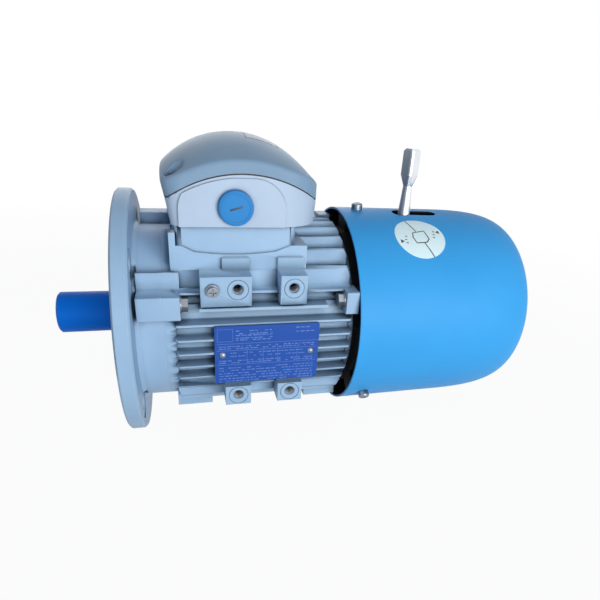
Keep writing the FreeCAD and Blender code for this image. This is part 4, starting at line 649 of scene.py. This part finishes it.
@dataclass
class FinnedHousing:
    """Housing with its foot pads, tapped holes and earth screw."""

    hole_xs_mm: tuple[float, float] = (85.4, 126.9)
    hole_z_mm: float = 44.6
    face_y_mm: float = 77.5
    thread_r_mm: float = 3.4
    thread_depth_mm: float = 0.45
    thread_pitch_mm: float = 1.25
    thread_from_mm: float = 2.0
    thread_root_mm: float = 0.05
    thread_half_share: float = 0.42
    thread_sharp_deg: float = 20.0
    thread_turns: int = 9
    steps_per_turn: int = 24

    def build(self) -> None:
        """Dress the housing and put threads in its pads' holes."""
        dress([
            Coat("motor_housing", Slot.CASTING_PAINT, CAST_ENAMEL),
            # The rear shield gets the black painted shade.
            Coat("rear_shield", Slot.INNER_IRON, SHADE_BLACK),
            Coat("rear_shield_screws", Slot.ZINC_STEEL, ZINC),
            Coat("earth_screw", Slot.ZINC_STEEL, ZINC, soft_mm=0.25),
        ])
        for side, word in SIDES:
            self.threads(side, word)

    def threads(self, side: int, word: str) -> None:
        """Screw threads in the four tapped holes of one side.

        Args:
            side: -1 for the name plate's side, 1 for the other.
            word: word for the side in the piece's name.
        """
        form = bmesh.new()
        y = side * (self.face_y_mm - self.thread_from_mm)
        for x in self.hole_xs_mm:
            for z in (-self.hole_z_mm, self.hole_z_mm):
                self.thread(form, Vector((x, y, z)) * MM, -side)
        finished_piece(form, "pad_threads_" + word, Body.STATOR, BARE_MACHINED,
                       self.thread_sharp_deg)

    def thread(self, form: BMesh, start: Vector, inward: int) -> None:
        """One helical ridge on a hole's wall.

        Args:
            form: bmesh that gets it.
            start: centre of the first turn.
            inward: direction of the hole along Y.
        """
        radius = self.thread_r_mm * MM
        root = radius + self.thread_root_mm * MM
        crest = radius - self.thread_depth_mm * MM
        half = self.thread_pitch_mm * self.thread_half_share * MM
        corners = [(root, -half), (crest, 0.0), (root, half)]
        verts = [form.verts.new(start + Vector((r, along, 0))) for r, along in corners]
        edges = [form.edges.new((verts[i], verts[(i + 1) % 3])) for i in range(3)]
        steps = self.thread_turns * self.steps_per_turn
        rise = Vector((0, inward * self.thread_pitch_mm * MM / self.steps_per_turn, 0))
        last = bmesh.ops.spin(form, geom=verts + edges, cent=start, axis=(0, 1, 0), dvec=rise,
                              angle=math.tau * self.thread_turns, steps=steps, use_merge=False,
                              use_duplicate=False)["geom_last"]
        form.faces.new(verts)
        form.faces.new([v for v in last if isinstance(v, BMVert)])


@dataclass
class TerminalBox:
    """Terminal box with its lid, gasket, plugs and screws."""

    relief_mm: float = 0.35
    mark_len_mm: float = 9.0
    mark_w_mm: float = 1.3
    mark_turn_deg: float = 17.0
    mark_edge_mm: float = 0.15
    ring_foot_mm: tuple[float, float] = (2.6, 1.5)
    ring_top_mm: tuple[float, float] = (2.4, 1.7)
    ring_sunk_mm: float = 0.3
    label_mm: tuple[float, float, float, float] = (97.0, 122.0, -22.0, 22.0)
    label_cells: tuple[int, int] = (12, 28)
    label_edge_mm: float = 1.2
    label_film_mm: float = 0.16
    look_down_from_mm: float = 10.0

    def build(self) -> None:
        """Dress the box, raise the marks on its plugs and lay the label on its lid."""
        dress([
            Coat("terminal_box_base", Slot.CASTING_PAINT, BOX_ENAMEL),
            # The lid's enamel is darkened as painted shade.
            Coat("terminal_box_lid", Slot.CASTING_PAINT, LID_ENAMEL_AS_SHADE, sharp_deg=30.0),
            Coat("lid_gasket", Slot.SEAL_RUBBER, RUBBER),
            Coat("lid_screws", Slot.ZINC_STEEL, ZINC),
            *alike(Slot.ENTRY_PLASTIC, PLUG_PLASTIC, "cable_plug_near", "cable_plug_far"),
        ])
        for side, word in SIDES:
            self.plug_marks(side, word)
        self.label()

    def label(self) -> None:
        """Bare rectangular film with a dark edge, across the lid's crown."""
        x0, x1, y0, y1 = self.label_mm
        size = Vector((x1 - x0, y1 - y0, 0)) * MM
        form = bmesh.new()
        place = (Matrix.Translation(Vector(((x0 + x1) / 2, (y0 + y1) / 2, 0)) * MM)
                 @ Matrix.Diagonal((size.x, size.y, 1, 1)))
        along, across = self.label_cells
        bmesh.ops.create_grid(form, x_segments=along, y_segments=across, size=0.5, matrix=place)
        bmesh.ops.inset_region(form, faces=form.faces[:], thickness=self.label_edge_mm * MM,
                               use_boundary=True, use_even_offset=True)
        inner = Vector((x0, y0, 0)) * MM + Vector((1, 1, 0)) * self.label_edge_mm * MM
        outer = Vector((x1, y1, 0)) * MM - Vector((1, 1, 0)) * self.label_edge_mm * MM
        for face in form.faces:
            middle = face.calc_center_median()
            within = inner.x < middle.x < outer.x and inner.y < middle.y < outer.y
            face.material_index = 0 if within else 1
        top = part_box("terminal_box_lid")[1].z + self.look_down_from_mm * MM
        lay_on(form, Probe("terminal_box_lid"), lambda at: (Vector((at.x, at.y, top)), Vector((0, 0, 1))),
               FILM_GAP_MM, self.label_film_mm)
        piece = finished_piece(form, "lid_label", Body.STATOR, LABEL_FILM)
        piece.data.materials.append(DARK_INK.material())

    def plug_marks(self, side: int, word: str) -> None:
        """Raised bar and ring on a plug's face.

        Args:
            side: -1 for the name plate's side, 1 for the other.
            word: word for the side in the names.
        """
        low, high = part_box("cable_plug_" + word)
        centre = (low + high) / 2
        centre.y = low.y if side < 0 else high.y
        half = Vector((self.mark_len_mm / 2, self.relief_mm, self.mark_w_mm / 2)) * MM
        mark = bmesh.new()
        made = bar(mark, centre - half, centre + half, edge=self.mark_edge_mm * MM)
        turn = Matrix.Rotation(math.radians(side * self.mark_turn_deg), 3, "Y")
        bmesh.ops.rotate(mark, verts=made, cent=centre, matrix=turn)
        finished_piece(mark, "plug_arrow_" + word, Body.STATOR, DARK_INK)
        radius_mm = (high.x - low.x) / 2 / MM
        foot = [(-self.ring_sunk_mm, radius_mm - off) for off in self.ring_foot_mm]
        top = [(self.relief_mm, radius_mm - off) for off in self.ring_top_mm]
        ring = bmesh.new()
        rim = turned_form(ring, [foot[0], *top, foot[1]], closed=True)
        turn = Matrix.Translation(centre) @ Matrix.Rotation(math.radians(90 * side), 4, "X")
        bmesh.ops.transform(ring, matrix=turn, verts=rim)
        finished_piece(ring, "plug_mark_" + word, Body.STATOR, PLUG_PLASTIC)


@dataclass
class Sticker:
    """Round sticker beside the lever slot, bent to the cowl."""

    x_mm: float = 238.8
    turn_deg: float = 30.8
    cowl_r_mm: float = 88.0
    look_from_share: float = 1.5
    radius_mm: float = 22.0
    rings: int = 12
    steps: int = 72
    film_mm: float = 0.16
    ink_mm: float = 0.08
    line_w_mm: float = 0.9
    line_cells: int = 12
    outline_mm: tuple[tuple[float, float], ...] = (
        (-5.4, 4.6), (5.2, 6.9), (7.4, -2.4), (4.6, -6.0), (-4.8, -6.8), (-6.6, -0.8))
    strokes_mm: tuple[tuple[tuple[float, float], tuple[float, float]], ...] = (
        ((-7.4, 21.0), (-2.2, 6.2)), ((2.0, -6.0), (7.6, -20.6)))
    head_r_mm: float = 2.3
    heads: tuple[tuple[tuple[float, float], float], ...] = (((-17.4, -5.0), -90.0), ((17.6, 5.4), 90.0))
    dashes_mm: tuple[tuple[float, float], ...] = (
        (-13.6, -3.2), (-13.2, -6.6), (-12.6, 0.2), (13.2, 2.6), (13.8, 6.0), (12.4, -0.8))
    dash_half_mm: tuple[float, float] = (0.9, -0.3)

    def build(self) -> None:
        """Make the film and its plain printed marks."""
        probe = Probe("fan_cowl")
        film = bmesh.new()
        rings = [(0.0, self.radius_mm * i / self.rings) for i in range(self.rings + 1)]
        turned_form(film, rings, steps=self.steps)
        lay_on(film, probe, self.way, FILM_GAP_MM, self.film_mm)
        finished_piece(film, "cowl_sticker", Body.STATOR, STICKER_FILM)
        ink = bmesh.new()
        outline = zip(self.outline_mm, self.outline_mm[1:] + self.outline_mm[:1])
        for start, end in (*outline, *self.strokes_mm):
            self.line(ink, start, end)
        for centre, turn_deg in self.heads:
            self.arrow_head(ink, centre, turn_deg)
        half_x, half_y = self.dash_half_mm
        for x, y in self.dashes_mm:
            self.line(ink, (x - half_x, y - half_y), (x + half_x, y + half_y))
        lay_on(ink, probe, self.way, self.film_mm, self.film_mm + self.ink_mm)
        finished_piece(ink, "sticker_print", Body.STATOR, DARK_INK)

    def way(self, place: Vector) -> tuple[Vector, Vector]:
        """Where a place on the sticker's plan comes to lie on the cowl.

        Args:
            place: place on the plan, in metres, with X along the shaft.

        Returns:
            A point well above the cowl there, and the direction outwards.
        """
        radius = self.cowl_r_mm * MM
        angle = math.radians(self.turn_deg) - place.y / radius
        outward = Vector((0, -math.sin(angle), math.cos(angle)))
        above = Vector((self.x_mm * MM + place.x, 0, 0)) + outward * radius * self.look_from_share
        return above, outward

    def line(self, form: BMesh, start: tuple[float, float], end: tuple[float, float]) -> None:
        """Flat printed line between two places on the sticker's plan.

        Args:
            form: bmesh that gets it.
            start: one end, in millimetres.
            end: the other end, in millimetres.
        """
        a = Vector((*start, 0)) * MM
        b = Vector((*end, 0)) * MM
        turn = math.atan2((b - a).y, (b - a).x)
        place = (Matrix.Translation((a + b) / 2) @ Matrix.Rotation(turn, 4, "Z")
                 @ Matrix.Diagonal(((b - a).length, self.line_w_mm * MM, 1, 1)))
        bmesh.ops.create_grid(form, x_segments=self.line_cells, y_segments=1, size=0.5, matrix=place)

    def arrow_head(self, form: BMesh, centre: tuple[float, float], turn_deg: float) -> None:
        """Small filled triangle at a place on the sticker's plan, in millimetres."""
        turn = Matrix.Rotation(math.radians(turn_deg), 4, "Z")
        place = Matrix.Translation(Vector((*centre, 0)) * MM) @ turn
        bmesh.ops.create_circle(form, cap_ends=True, segments=3, radius=self.head_r_mm * MM, matrix=place)


@dataclass
class FanCowl:
    """Pressed cowl with its screws and the fan inside."""

    middle_mm: tuple[float, float, float] = (255.0, 0.0, 0.0)
    slot_mm: tuple[float, float, float, float] = (222.0, 272.0, -16.0, 3.0)
    slot_from_z_mm: float = 80.0
    cut_normal_z: float = 0.5
    sticker: Sticker = field(default_factory=Sticker)

    def build(self) -> None:
        """Dress the cowl outside and inside, its screws and the fan."""
        dress([
            # The cowl's inside and the cut edges of its slot get the black painted shade.
            Coat("fan_cowl", Slot.COWL_PAINT, COWL_COAT, second=SHADE_BLACK, where=self.bare),
            Coat("cowl_grille", Slot.COWL_PAINT, COWL_COAT),
            Coat("cowl_screws", Slot.ZINC_STEEL, ZINC),
            Coat("cooling_fan", Slot.BLACK_PLASTIC, BLACK_PLASTIC),
            Coat("fan_circlip", Slot.SPRING_STEEL, OILED_STEEL),
        ])
        self.sticker.build()

    def bare(self, face: BMFace) -> bool:
        """Whether a face of the cowl gets the black painted shade: its inside and the cut edges of the lever
        slot.

        Args:
            face: face of the cowl.

        Returns:
            True for a face in black painted shade.
        """
        place = face.calc_center_median()
        x0, x1, y0, y1 = (side * MM for side in self.slot_mm)
        in_slot = x0 < place.x < x1 and y0 < place.y < y1 and place.z > self.slot_from_z_mm * MM
        inside = (place - Vector(self.middle_mm) * MM).dot(face.normal) < 0
        return inside or (in_slot and abs(face.normal.z) < self.cut_normal_z)


@dataclass
class HandRelease:
    """Lever, yoke and studs of the hand release."""

    # Faces whose normal points further towards -X than this get the lever's painted shade.
    shaded_side_normal_x: float = -0.45

    def build(self) -> None:
        """Dress the lever and what it moves."""
        dress([
            # One material in a lit copy and a painted-shade copy, chosen by which way a face points.
            Coat("release_lever", Slot.ZINC_STEEL, LIT_LEVER_AND_BALL_STEEL, sharp_deg=28.0, second=LEVER_SHADED_SIDE,
                 where=lambda face: face.normal.x < self.shaded_side_normal_x),
            *alike(Slot.ZINC_STEEL, ZINC, "release_yoke", "release_studs"),
        ])


@dataclass
class NamePlate:
    """Bare rating plate with ruled lines, on two rivets."""

    print_mm: float = 0.06
    sunk_mm: float = 0.05
    margin_mm: float = 1.6
    rule_w_mm: float = 0.28
    frame_xs_mm: tuple[float, float] = (0.6, 12.0)
    frame_zs_mm: tuple[float, float] = (4.4, 14.6)
    seed: int = 5
    mark_h_mm: float = 0.95
    mark_h_shares: tuple[float, float] = (0.6, 1.0)
    mark_lens_mm: tuple[float, float] = (0.9, 3.6)
    mark_gaps_mm: tuple[float, float] = (0.4, 1.3)
    mark_share: float = 0.78
    row_end_mm: float = 1.0
    rivet_reach_mm: tuple[float, float] = (7.5, 1.0)
    rules_mm: tuple[float, ...] = (2.4, -3.2, -15.4)
    columns_mm: tuple[float, ...] = (91.8, 104.2, 115.4, 131.0)
    head_rows_mm: tuple[float, ...] = (12.9, 10.6, 9.2, 7.0, 5.4)
    head_xs_mm: tuple[float, float] = (14.2, 42.0)
    corner_rows_mm: tuple[float, ...] = (14.0, 10.6)
    corner_ends_mm: tuple[float, float] = (17.0, 1.0)
    rows_mm: tuple[float, ...] = (
        0.2, -1.6, -5.4, -8.2, -12.0, -13.8, -18.2, -20.4, -23.0, -25.2, -27.6, -29.8)
    row_insets_mm: tuple[float, float] = (1.5, 2.0)

    def build(self) -> None:
        """Dress the plate and print its plain lines."""
        dress([
            Coat("name_plate", Slot.PLATE_METAL, PLATE_DYE),
            Coat("plate_rivets", Slot.ZINC_STEEL, ZINC),
        ])
        low, high = (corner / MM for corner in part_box("name_plate"))
        form = bmesh.new()
        left = low.x + self.margin_mm
        right = high.x - self.margin_mm
        for z in self.rules_mm:
            self.stroke(form, low.y, left, right, z, self.rule_w_mm)
        _, top_z, foot_z = self.rules_mm
        for x in self.columns_mm:
            self.upright(form, low.y, x, foot_z, top_z)
        self.empty_frame(form, low.y, left)
        chance = random.Random(self.seed)
        head_from, head_to = self.head_xs_mm
        corner_from, corner_to = self.corner_ends_mm
        inset_left, inset_right = self.row_insets_mm
        for z in self.head_rows_mm:
            self.dashes(form, low.y, left + head_from, left + head_to, z, chance)
        for z in self.corner_rows_mm:
            self.dashes(form, low.y, right - corner_from, right - corner_to, z, chance)
        for z in self.rows_mm:
            self.dashes(form, low.y, left + inset_left, right - inset_right, z, chance)
        finished_piece(form, "plate_lines", Body.STATOR, PLATE_LINES)

    def stroke(self, form: BMesh, y: float, x0: float, x1: float, z: float, width: float) -> None:
        """Thin level stroke on the plate's face at y, in millimetres."""
        bar(form, Vector((x0, y - self.print_mm, z - width / 2)) * MM,
            Vector((x1, y + self.sunk_mm, z + width / 2)) * MM)

    def upright(self, form: BMesh, y: float, x: float, z0: float, z1: float) -> None:
        """Thin upright stroke on the plate's face at y, in millimetres."""
        half = self.rule_w_mm / 2
        bar(form, Vector((x - half, y - self.print_mm, z0)) * MM,
            Vector((x + half, y + self.sunk_mm, z1)) * MM)

    def empty_frame(self, form: BMesh, y: float, left: float) -> None:
        """Empty rectangle in the plate's top corner.

        Args:
            form: bmesh that gets it.
            y: face of the plate, in millimetres.
            left: left end of the plate's rows, in millimetres.
        """
        x0, x1 = (left + x for x in self.frame_xs_mm)
        z0, z1 = self.frame_zs_mm
        for z in (z0, z1):
            self.stroke(form, y, x0, x1, z, self.rule_w_mm)
        for x in (x0, x1):
            self.upright(form, y, x, z0, z1)

    def dashes(self, form: BMesh, y: float, x0: float, x1: float, z: float,
               chance: random.Random) -> None:
        """Row of plain dashes of uneven length, clear of the rivets.

        Args:
            form: bmesh that gets them.
            y: face of the plate, in millimetres as all the places here are.
            x0: left end of the row.
            x1: right end of the row.
            z: height of the row.
            chance: seeded source of the lengths, widths and gaps.
        """
        rivet_low, rivet_high = (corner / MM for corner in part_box("plate_rivets"))
        reach_x, reach_z = self.rivet_reach_mm
        level = rivet_low.z - reach_z < z < rivet_high.z + reach_z
        x = x0
        while x < x1 - self.row_end_mm:
            length = min(chance.uniform(*self.mark_lens_mm), x1 - x)
            beside = x < rivet_low.x + reach_x or x + length > rivet_high.x - reach_x
            if not (beside and level) and chance.random() < self.mark_share:
                width = self.mark_h_mm * chance.uniform(*self.mark_h_shares)
                self.stroke(form, y, x, x + length, z, width)
            x += length + chance.uniform(*self.mark_gaps_mm)


@dataclass
class OutputShaft:
    """Shaft with its key and plastic guard."""

    def build(self) -> None:
        """Dress the shaft's parts."""
        dress([
            Coat("shaft_sleeve", Slot.BLUE_PLASTIC, SLEEVE_PLASTIC),
            Coat("motor_shaft", Slot.BRIGHT_STEEL, GROUND_STEEL),
            Coat("shaft_key", Slot.BRIGHT_STEEL, GROUND_STEEL, soft_mm=0.3),
        ])


@dataclass
class Internals:
    """Everything inside: windings, rotor, bearings, brake and terminals."""

    def build(self) -> None:
        """Dress the inner parts."""
        dress([
            *alike(Slot.CORE_STEEL, SHEET_STACK, "stator_core", "rotor_core"),
            Coat("stator_windings", Slot.COPPER, WOUND_COPPER),
            Coat("rotor_cage", Slot.CAGE_METAL, CAGE_CASTING),
            *alike(Slot.BRIGHT_STEEL, GROUND_STEEL, "front_bearing_outer", "front_bearing_inner",
                   "rear_bearing_outer", "rear_bearing_inner", "bearing_shields", "hub_key"),
            *alike(Slot.BRIGHT_STEEL, LIT_LEVER_AND_BALL_STEEL, "front_bearing_balls", "rear_bearing_balls"),
            *alike(Slot.SPRING_STEEL, OILED_STEEL, "preload_washer", "bearing_circlip", "brake_springs"),
            *alike(Slot.BRIGHT_STEEL, BARE_MACHINED, "brake_hub", "friction_disc", "armature_plate",
                   "magnet_body"),
            Coat("friction_linings", Slot.FRICTION_LINING, LINING),
            Coat("brake_coil", Slot.RESIN, RESIN),
            *alike(Slot.ZINC_STEEL, ZINC, "brake_bolts", "spacer_sleeves", "box_screws"),
            Coat("terminal_block", Slot.BLACK_PLASTIC, BLACK_PLASTIC),
            *alike(Slot.BRASS, BRASS, "terminal_studs", "terminal_links"),
            Coat("rectifier", Slot.RESIN, RESIN, soft_mm=0.6),
        ])


@dataclass(frozen=True)
class Softbox:
    """Soft square lamp: its name, its place and side in metres, and its power in watts."""

    name: str
    place: tuple[float, float, float]
    side: float
    power: float

    def build(self, target: Vector) -> None:
        """Set up the lamp and aim it.

        Args:
            target: point that it is aimed at, in metres.
        """
        data = bpy.data.lights.new(self.name, "AREA")
        data.shape = "SQUARE"
        data.size = self.side
        data.energy = self.power
        lamp = bpy.data.objects.new(self.name, data)
        lamp.location = self.place
        aim = target - Vector(self.place)
        lamp.rotation_euler = aim.to_track_quat("-Z", "Y").to_euler()
        bpy.context.scene.collection.objects.link(lamp)


@dataclass
class Studio:
    """White floor and surroundings, soft lamps and a camera as the photograph's.

    The camera's place and directions were solved from the round parts as the photograph shows them.
    """

    camera_mm: tuple[float, float, float] = (50.40, -411.87, 170.55)
    look: tuple[float, float, float] = (0.24916089, 0.86396739, -0.43758336)
    right: tuple[float, float, float] = (0.96712723, -0.24568565, 0.06560097)
    up: tuple[float, float, float] = (0.05083085, 0.43954398, 0.89678164)
    lens_mm: float = 29.39
    shift: tuple[float, float] = (-0.02775, 0.0664)
    sensor_mm: float = 36.0
    clip_m: tuple[float, float] = (0.01, 100.0)
    floor_z_mm: float = -100.3
    floor_half_m: float = 12.0
    paper: str = "#A9ACB0"
    glow: float = 1.03
    near_share: float = 0.92
    fade_from_m: float = 0.5
    fade_to_m: float = 1.5
    sky: str = "#B4D2F5"
    sky_light: float = 0.15
    target_mm: tuple[float, float, float] = (140.0, 0.0, 0.0)
    lamps: tuple[Softbox, ...] = (
        Softbox("front_softbox", (0.52, -1.28, 0.12), 0.9, 22.5),
        Softbox("top_softbox", (0.10, 0.00, 1.30), 1.0, 0.8),
        Softbox("left_softbox", (-1.10, -0.55, 0.45), 0.8, 3.4),
        Softbox("back_softbox", (0.20, 1.25, 0.55), 1.0, 6.0),
    )

    def build(self) -> None:
        """Set the floor, world, lamps and camera."""
        self.floor()
        self.world()
        for softbox in self.lamps:
            softbox.build(Vector(self.target_mm) * MM)
        self.camera()
        bpy.context.scene.view_settings.view_transform = "Standard"

    def seen(self, tree: NodeTree) -> NodeSocket:
        """Share of a ray that shows the backdrop: seen straight, in a reflection or through glass.

        Args:
            tree: node tree of the floor's material or the world.

        Returns:
            Value socket.
        """
        path = add_node(tree, "ShaderNodeLightPath").outputs
        share = path["Is Camera Ray"]
        for other in ("Is Glossy Ray", "Is Transmission Ray"):
            share = add_node(tree, "ShaderNodeMath", {0: share, 1: path[other]},
                             operation="MAXIMUM").outputs[0]
        return share

    def floor(self) -> None:
        """Plain white floor that keeps a soft shadow and fades into the surroundings."""
        form = bmesh.new()
        bmesh.ops.create_grid(form, x_segments=2, y_segments=2, size=self.floor_half_m,
                              matrix=Matrix.Translation((0, 0, self.floor_z_mm * MM)))
        mesh = bpy.data.meshes.new("studio_floor")
        form.to_mesh(mesh)
        form.free()
        material = bpy.data.materials.new("white_studio_paper")
        tree = empty_tree(material)
        paper = add_node(tree, "ShaderNodeBsdfDiffuse", {"Color": linear(self.paper)})
        glow = add_node(tree, "ShaderNodeEmission", {"Color": linear(WHITE), "Strength": self.glow})
        place = add_node(tree, "ShaderNodeTexCoord").outputs["Object"]
        away = add_node(tree, "ShaderNodeVectorMath", {0: place}, operation="LENGTH").outputs["Value"]
        fade = add_node(tree, "ShaderNodeMapRange", {
            "Value": away, "From Min": self.fade_from_m, "From Max": self.fade_to_m,
            "To Min": self.near_share, "To Max": 1.0}).outputs[0]
        share = add_node(tree, "ShaderNodeMath", {0: self.seen(tree), 1: fade},
                         operation="MULTIPLY").outputs[0]
        both = add_node(tree, "ShaderNodeMixShader", {0: share, 1: paper.outputs[0], 2: glow.outputs[0]})
        add_node(tree, "ShaderNodeOutputMaterial", {"Surface": both.outputs[0]})
        mesh.materials.append(material)
        ground = bpy.data.objects.new("studio_floor", mesh)
        bpy.context.scene.collection.objects.link(ground)

    def world(self) -> None:
        """White surroundings for the eye, dimmer ones for the light that they give."""
        world = bpy.data.worlds.new("studio_world")
        tree = empty_tree(world)
        dim = add_node(tree, "ShaderNodeBackground", {"Color": linear(self.sky), "Strength": self.sky_light})
        white = add_node(tree, "ShaderNodeBackground", {"Color": linear(WHITE), "Strength": 1.0})
        both = add_node(tree, "ShaderNodeMixShader", {
            0: self.seen(tree), 1: dim.outputs[0], 2: white.outputs[0]})
        add_node(tree, "ShaderNodeOutputWorld", {"Surface": both.outputs[0]})
        bpy.context.scene.world = world

    def camera(self) -> None:
        """Camera at the place, turn and width of the photograph's."""
        data = bpy.data.cameras.new("photo_camera")
        data.sensor_width = self.sensor_mm
        data.lens = self.lens_mm
        data.shift_x, data.shift_y = self.shift
        data.clip_start, data.clip_end = self.clip_m
        camera = bpy.data.objects.new("photo_camera", data)
        turn = Matrix((self.right, self.up, [-c for c in self.look])).transposed()
        camera.matrix_world = Matrix.Translation(Vector(self.camera_mm) * MM) @ turn.to_4x4()
        bpy.context.scene.collection.objects.link(camera)
        bpy.context.scene.camera = camera


def main() -> None:
    """Build the motor's sub-assemblies in order, then the studio."""
    for part in (FlangeEnd(), FinnedHousing(), TerminalBox(), FanCowl(), HandRelease(), NamePlate(),
                 OutputShaft(), Internals(), Studio()):
        part.build()
        LOG.info("built %s", type(part).__name__)


if __name__ == "__main__":
    logging.basicConfig(level=logging.INFO)
    main()
